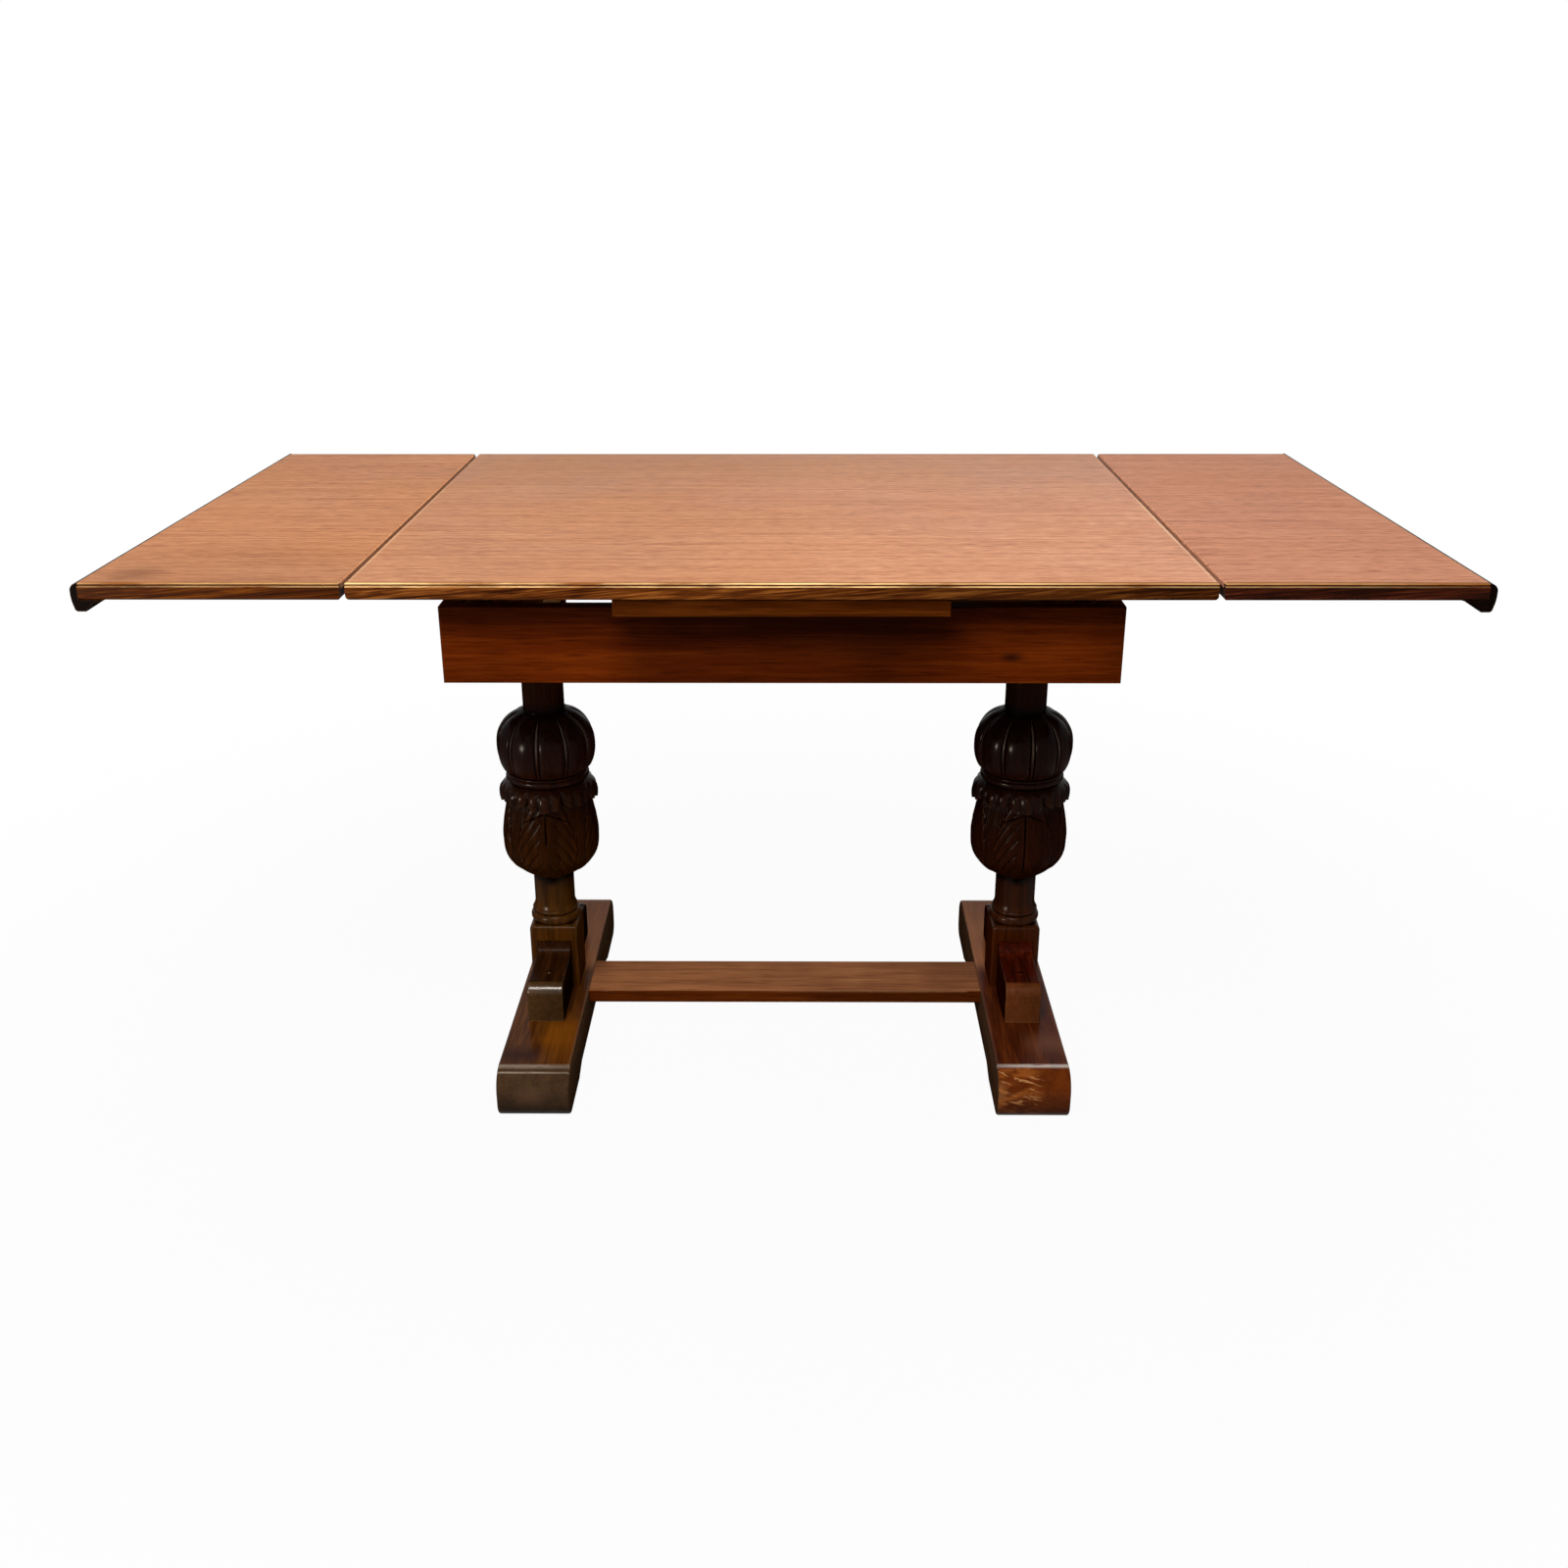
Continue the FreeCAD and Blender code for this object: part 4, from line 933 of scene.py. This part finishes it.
def leg_heights():
    """Heights of the rows of the mesh, close together where the carving is."""
    starts = (
        (foot_top, 4), (LEG_BLOCK_TOP - LEG_BLOCK_ROUND, 10), (LEG_BLOCK_TOP, 1), (LEG_BLOCK_TOP + LEDGE, 56),
        (NECK_BOTTOM, 10), (CUP_BOTTOM, 108), (BIG_TIP_LOW - TIP_MARGIN, 26), (CUP_TOP, 26), (COLLAR_TOP, 26),
        (COVER_BOTTOM, 90), (COVER_TOP, 6), (COVER_TOP + COVER_FILLET, 12), (UPPER_RINGS, 56),
        (UPPER_BLOCK - LEDGE, 1), (UPPER_BLOCK, 10), (UPPER_BLOCK + LEG_BLOCK_ROUND, 4), (frame_bottom, 1),
    )
    rows = []
    for (low, count), (high, _) in zip(starts, starts[1:]):
        rows.append(np.linspace(low, high, count, endpoint=False))
    return np.append(np.concatenate(rows), frame_bottom)


def blurred(values, passes):
    for _ in range(passes):
        values = (values + np.roll(values, 1, 1) + np.roll(values, -1, 1)) / 3
        padded = np.pad(values, ((1, 1), (0, 0)), "edge")
        values = (padded[:-2] + padded[1:-1] + padded[2:]) / 3
    return values


def keep_values(mesh, name, values):
    """Keep one number for each point of a mesh, for its finish."""
    kept = mesh.attributes.new(name, "FLOAT", "POINT")
    kept.data.foreach_set("value", values.ravel().astype(np.float32))


def carved_leg(name, node, carving):
    """One carved leg as a closed mesh about its own upright axis."""
    low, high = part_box(node)
    heights = leg_heights()
    degrees = np.arange(ROUND_STEPS) * 360.0 / ROUND_STEPS + FRONT_ANGLE
    angle, z = np.meshgrid(np.radians(degrees), heights)
    square = (z <= LEG_BLOCK_TOP) | (z >= UPPER_BLOCK)
    from_front = np.degrees(angle) - FRONT_ANGLE
    carved = carved_radius(from_front, z, carving)
    radius = np.where(square, square_radius(angle, z), carved)
    points = np.stack([(low.x + high.x) / 2 + radius * np.cos(angle), radius * np.sin(angle), z], -1)
    row_count = len(heights)
    index = np.arange(row_count * ROUND_STEPS).reshape(row_count, ROUND_STEPS)
    side = np.roll(index, -1, 1)
    quads = np.stack([index[:-1], side[:-1], side[1:], index[1:]], -1).reshape(-1, 4)
    faces = quads.tolist() + [index[0][::-1].tolist(), index[-1].tolist()]
    mesh = bpy.data.meshes.new(name)
    mesh.from_pydata(points.reshape(-1, 3).tolist(), [], faces)
    mesh.polygons.foreach_set("use_smooth", [True] * len(faces))
    mesh.set_sharp_from_angle(angle=math.radians(SHARP_ANGLE))
    high_places = np.clip(0.5 + (radius - blurred(radius, RELIEF_BLUR)) / RELIEF_SPAN, 0.0, 1.0)
    keep_values(mesh, "relief", np.where(square, 0.5, high_places))
    keep_values(mesh, "crest", reed_crests(from_front, z, carving["lobe_turn"]))
    leg = bpy.data.objects.new(name, mesh)
    bpy.context.scene.collection.objects.link(leg)
    return leg


LEFT_CARVING = {"lobe_turn": -3.0, "leaf_turn": 2.5, "vein_low": 0.48, "right_feathers": 1.0}
RIGHT_CARVING = {"lobe_turn": 3.5, "leaf_turn": 0.0, "vein_low": 0.12, "right_feathers": 0.2}

# Heights that have a tone of their own on each leg; towards the top of the cover the tones are darker as
# painted shade
LEVELS = (foot_top, LEG_BLOCK_TOP - 0.01, LEG_BLOCK_TOP + 0.01, NECK_BOTTOM, CUP_BOTTOM, CUP_BOTTOM + 0.06,
          CUP_TOP, COVER_BOTTOM, COVER_BOTTOM + 0.04, COVER_BOTTOM + 0.06, COVER_TOP, COVER_TOP + 0.02,
          frame_bottom)
LEFT_LEG_TONES = palette(
    (66, 34, 4), (70, 37, 5), (66, 37, 9), (68, 38, 4), (54, 27, 3), (46, 20, 3), (40, 17, 4),
    (46, 19, 7), (42, 16, 5), (38, 17, 11), (34, 15, 10), (49, 20, 3), (50, 20, 3))
RIGHT_LEG_TONES = palette(
    (52, 19, 2), (54, 20, 2), (48, 22, 7), (42, 16, 3), (40, 15, 3), (40, 14, 4), (34, 13, 4),
    (40, 16, 7), (36, 13, 5), (31, 13, 8), (27, 12, 7), (32, 12, 2), (34, 13, 2))

for leg_name, leg_node, leg_carving, leg_tones in (
        ("carved_left_leg", "left_leg", LEFT_CARVING, LEFT_LEG_TONES),
        ("carved_right_leg", "right_leg", RIGHT_CARVING, RIGHT_LEG_TONES)):
    piece = carved_leg(leg_name, leg_node, leg_carving)
    piece.data.materials.append(carved_wood(leg_node + "_oak", leg_tones))
    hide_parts(leg_node)
    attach(piece, "frame")


# Finishes of the solids

# Shades at the left, at the right and in front; a smudge's place, size, tone and share
TOP_SHADES = (0.95, 1.02, 0.98)
LEFT_LEAF_SHADES = (1.0, 1.0, 0.84)
RIGHT_LEAF_SHADES = (1.0, 1.0, 0.91)
LEFT_SMUDGE = ((-0.69, -0.34, top_z), 0.05, EDGE_DARK, 0.45)
RIGHT_BLOTCH = ((0.60, -0.05, top_z), 0.14, PURPLE_BLOTCH, 0.08)
STRETCHER_RUBBED = 0.255

# Patches have a span along X, one along Y or up the toe, a tone and a share; those far back on both feet and
# the pinkish one near the right toe are painted sheen.
# Painted highlight lines have the two ends of a span along Y, a softness and a share, and fade along X.
# Scratches have a span along X.
NO_SCRATCHES = (-1.0, -0.9)
LEFT_FOOT = {
    "tones": LEFT_FOOT_TONES,
    "top_patches_and_sheen": (((-0.318, -0.276), (-0.200, -0.13), LEFT_AMBER, 0.85),
                    ((-0.318, -0.276), (-0.236, -0.200), LEFT_AMBER, 0.4),
                    ((-0.372, -0.318), (-0.240, -0.200), LEFT_PATCH, 0.9),
                    ((-0.372, -0.268), (0.03, 0.25), FAR_PAINTED_SHEEN, 0.72)),
    "toe": LEFT_TOE,
    "toe_patches": (((-0.340, -0.310), (0.026, 0.044), LEFT_TOE_SMUDGE, 0.5),),
    "scratches": NO_SCRATCHES,
    "shine": LEFT_PAINTED_HIGHLIGHT,
    "painted_highlight_lines": ((-0.2455, -0.2395, 0.0030, 0.35), (-0.2525, -0.2512, 0.0012, 0.6)),
    "painted_highlight_fade": (-0.32, -0.28, 1.0, 0.6),
}
RIGHT_FOOT = {
    "tones": RIGHT_FOOT_TONES,
    "top_patches_and_sheen": (((0.318, 0.372), (-0.200, -0.160), RIGHT_PAINTED_SHEEN, 0.6),
                    ((0.268, 0.372), (0.03, 0.25), FAR_PAINTED_SHEEN, 0.7)),
    "toe": RIGHT_TOE,
    "toe_patches": (((0.273, 0.277), (0.026, 0.052), FOOT_SCRATCH, 0.5),),
    "scratches": (0.270, 0.325),
    "shine": RIGHT_PAINTED_HIGHLIGHT,
    "painted_highlight_lines": ((-0.2404, -0.2376, 0.0045, 1.0),),
    "painted_highlight_fade": (0.275, 0.315, 0.6, 1.0),
}

dress(veneer("top_veneer", TOP_TONES, DULL, TOP_SHADES, blush=0.9, painted_sheen=0.32,
             worn_from=top_half - 2 * WORN_WIDTH), "top_panel")
dress(veneer("left_leaf_veneer", LEFT_LEAF_TONES, DEAD, LEFT_LEAF_SHADES, painted_sheen=0.04, smudge=LEFT_SMUDGE,
             seam=LEFT_SEAM), "left_leaf_panel")
dress(veneer("right_leaf_veneer", RIGHT_LEAF_TONES, DEAD, RIGHT_LEAF_SHADES, painted_sheen=0.12, smudge=RIGHT_BLOTCH),
      "right_leaf_panel")
for board, face, right_shade, gold_share, gold_span in (
        ("top", TOP_FACE, 0.5, 1.0, (0.05, 0.42)),
        ("left_leaf", LEFT_FACE, 1.0, 0.5, (-0.9, 0.0)),
        ("right_leaf", RIGHT_FACE, 1.0, 0.35, (0.3, 0.9))):
    dress(lipping(board + "_lipping", face, right_shade, gold_share, gold_span),
          board + "_front_lipping", board + "_back_lipping")
dress(plain_wood("pull_moulding", "Y", LIP_TONES, LIP_WORN, DEAD), "left_leaf_lip", "right_leaf_lip")
dress(plain_wood("centre_board_oak", "X", BOARD_TONES, BOARD_WORN, DEAD, WORN_WAX), "centre_board")
dress(apron_wood("apron_oak"), "front_apron", "back_apron")
dress(plain_wood("end_rail_oak", "Y", APRON_TONES, APRON_WORN, DEAD, SATIN),
      "left_end_rail", "right_end_rail")
dress(plain_wood("stretcher_oak", "X", STRETCHER_TONES, STRETCHER_WORN, DEAD, upper=STRETCHER_TOP_SHEEN,
                 worn_share=1.0, worn_half=STRETCHER_RUBBED), "stretcher")
for side, tones, front_tone, shine in (
        ("left", LEFT_BRACKET_TONES, LEFT_BRACKET_FRONT, 0.4),
        ("right", RIGHT_BRACKET_TONES, RIGHT_BRACKET_FRONT, 0.05)):
    front_bracket = side + "_front_bracket"
    dress(bracket_wood(side + "_bracket_oak", front_bracket, tones, front_tone, shine),
          front_bracket, side + "_back_bracket")
dress(foot_wood("left_foot_oak", LEFT_FOOT), "left_foot")
dress(foot_wood("right_foot_oak", RIGHT_FOOT), "right_foot")
dress(plain_wood("slide_beech", "X", SLIDE_TONES, SLIDE_WORN, DULL, BARE),
      "left_front_loper", "left_back_loper", "right_front_loper", "right_back_loper")
dress(plain_wood("cross_beech", "Y", BEECH_TONES, BEECH_WORN, MATT, BARE),
      "left_guide_rail", "right_guide_rail", "left_bearer", "right_bearer",
      "left_loper_stops", "right_loper_stops")
dress(plain_wood("upright_beech", "Z", BEECH_TONES, BEECH_WORN, MATT, BARE),
      "top_guide_pegs", "corner_blocks")
dress(plain_steel("screw_steel"), "centre_board_screws", "left_leaf_screws", "right_leaf_screws")
dress(waxed_screw("waxed_screw"), "bracket_screws")


# Camera

CAMERA_PLACE = Vector((0.0164, -1.9918, 1.1565))
CAMERA_PITCH = math.radians(21.831)
CAMERA_YAW = math.radians(-0.49)
CAMERA_ROLL = math.radians(-0.097)
CAMERA_LENS = 36.378
CAMERA_SENSOR = 36.0


def add_camera():
    """Camera at the photograph's height, distance and slight turn."""
    data = bpy.data.cameras.new("camera")
    data.lens = CAMERA_LENS
    data.sensor_width = CAMERA_SENSOR
    level = math.cos(CAMERA_PITCH)
    ahead = Vector((math.sin(CAMERA_YAW) * level, math.cos(CAMERA_YAW) * level, -math.sin(CAMERA_PITCH)))
    right = Vector((math.cos(CAMERA_YAW), -math.sin(CAMERA_YAW), 0.0))
    up = right.cross(ahead)
    tilted_right = right * math.cos(CAMERA_ROLL) + up * math.sin(CAMERA_ROLL)
    tilted_up = up * math.cos(CAMERA_ROLL) - right * math.sin(CAMERA_ROLL)
    turn = Matrix((tilted_right, tilted_up, -ahead)).transposed().to_4x4()
    camera = bpy.data.objects.new("camera", data)
    camera.matrix_world = Matrix.Translation(CAMERA_PLACE) @ turn
    bpy.context.scene.collection.objects.link(camera)
    bpy.context.scene.camera = camera


# Studio

FLOOR_HALF = 30.0
FLOOR_ROUGHNESS = 0.8
FLOOR_DENT = (0.02, 0.001)
FLOOR_GLOW = 0.96
GLOW_FROM = 0.5
GLOW_FULL = 2.0
WORLD_LIGHT = 0.25
WHITE = (1.0, 1.0, 1.0)
WARM = (1.0, 0.86, 0.7)


def background_rays(tree):
    """1 for rays that show the background as it is: from the camera, mirrored or let through."""
    path = tree.nodes.new("ShaderNodeLightPath")
    share = path.outputs["Is Camera Ray"]
    for kind in ("Is Glossy Ray", "Is Transmission Ray"):
        either = tree.nodes.new("ShaderNodeMath")
        either.operation = "MAXIMUM"
        tree.links.new(share, either.inputs[0])
        tree.links.new(path.outputs[kind], either.inputs[1])
        share = either.outputs[0]
    return share


def add_floor():
    """Pale floor that keeps a soft shadow."""
    corners = [(x * FLOOR_HALF, y * FLOOR_HALF, 0.0) for x, y in ((-1, -1), (1, -1), (1, 1), (-1, 1))]
    mesh = bpy.data.meshes.new("floor")
    mesh.from_pydata(corners, [], [(0, 1, 2, 3)])
    floor = bpy.data.objects.new("floor", mesh)
    bpy.context.scene.collection.objects.link(floor)
    paint = Paint("floor")
    cloud = paint.noise(paint.coordinates, 2.0, 3.0)
    colour = paint.mixed(paint.spread(cloud, 0.3, 0.7), FLOOR, FLOOR_CLOUD)
    paint.finish(colour, FLOOR_ROUGHNESS, paint.dent(cloud, *FLOOR_DENT), MATT)
    glow = paint.node("Emission", {"Strength": 1.0}).outputs[0]
    pale = paint.spread(paint.length(paint.coordinates), GLOW_FROM, GLOW_FULL, FLOOR_GLOW, 1.0)
    share = paint.product(background_rays(paint.tree), pale)
    both = paint.node("MixShader", {0: share, 1: paint.shader.outputs[0], 2: glow}).outputs[0]
    paint.put(both, paint.tree.nodes["Material Output"].inputs["Surface"])
    mesh.materials.append(paint.material)


def add_world():
    """White to look at, softer as a light."""
    world = bpy.data.worlds.new("studio")
    world.use_nodes = True
    tree = world.node_tree
    background = tree.nodes["Background"]
    background.inputs["Color"].default_value = (*WHITE, 1.0)
    strength = tree.nodes.new("ShaderNodeMapRange")
    tree.links.new(background_rays(tree), strength.inputs["Value"])
    strength.inputs["To Min"].default_value = WORLD_LIGHT
    strength.inputs["To Max"].default_value = 1.0
    tree.links.new(strength.outputs["Result"], background.inputs["Strength"])
    bpy.context.scene.world = world


def add_lamp(name, place, target, size, power, shows="both", colour=WHITE):
    """Area lamp that shows in the polish of the wood, in its plain light, or in both."""
    data = bpy.data.lights.new(name, "AREA")
    data.shape = "RECTANGLE"
    data.size, data.size_y = size
    data.energy = power
    data.color = colour
    lamp = bpy.data.objects.new(name, data)
    lamp.location = place
    lamp.rotation_euler = (Vector(target) - Vector(place)).to_track_quat("-Z", "Y").to_euler()
    lamp.visible_diffuse = shows != "polish"
    lamp.visible_glossy = shows != "light"
    bpy.context.scene.collection.objects.link(lamp)


add_camera()
add_floor()
add_world()
add_lamp("front_lamp", place=(-0.5, -2.4, 3.0), target=(0.0, 0.0, 0.6), size=(1.8, 1.2), power=108.0)
add_lamp("ceiling_lamp", place=(0.2, 0.0, 3.2), target=(0.0, 0.0, 0.0), size=(1.6, 1.0), power=8.0)
add_lamp("back_lamp", place=(0.6, 2.6, 1.2), target=(0.0, 0.0, 0.35), size=(2.0, 1.2), power=14.0,
         shows="light")
add_lamp("front_tube", place=(-0.4, -2.2, 2.9), target=(0.0, 0.0, 0.4), size=(1.3, 0.05), power=110.0,
         shows="polish", colour=WARM)
add_lamp("low_window", place=(-2.2, -1.9, 0.55), target=(0.0, 0.0, 0.4), size=(0.3, 0.5), power=110.0,
         shows="polish", colour=WARM)
bpy.context.scene.view_settings.view_transform = "Standard"
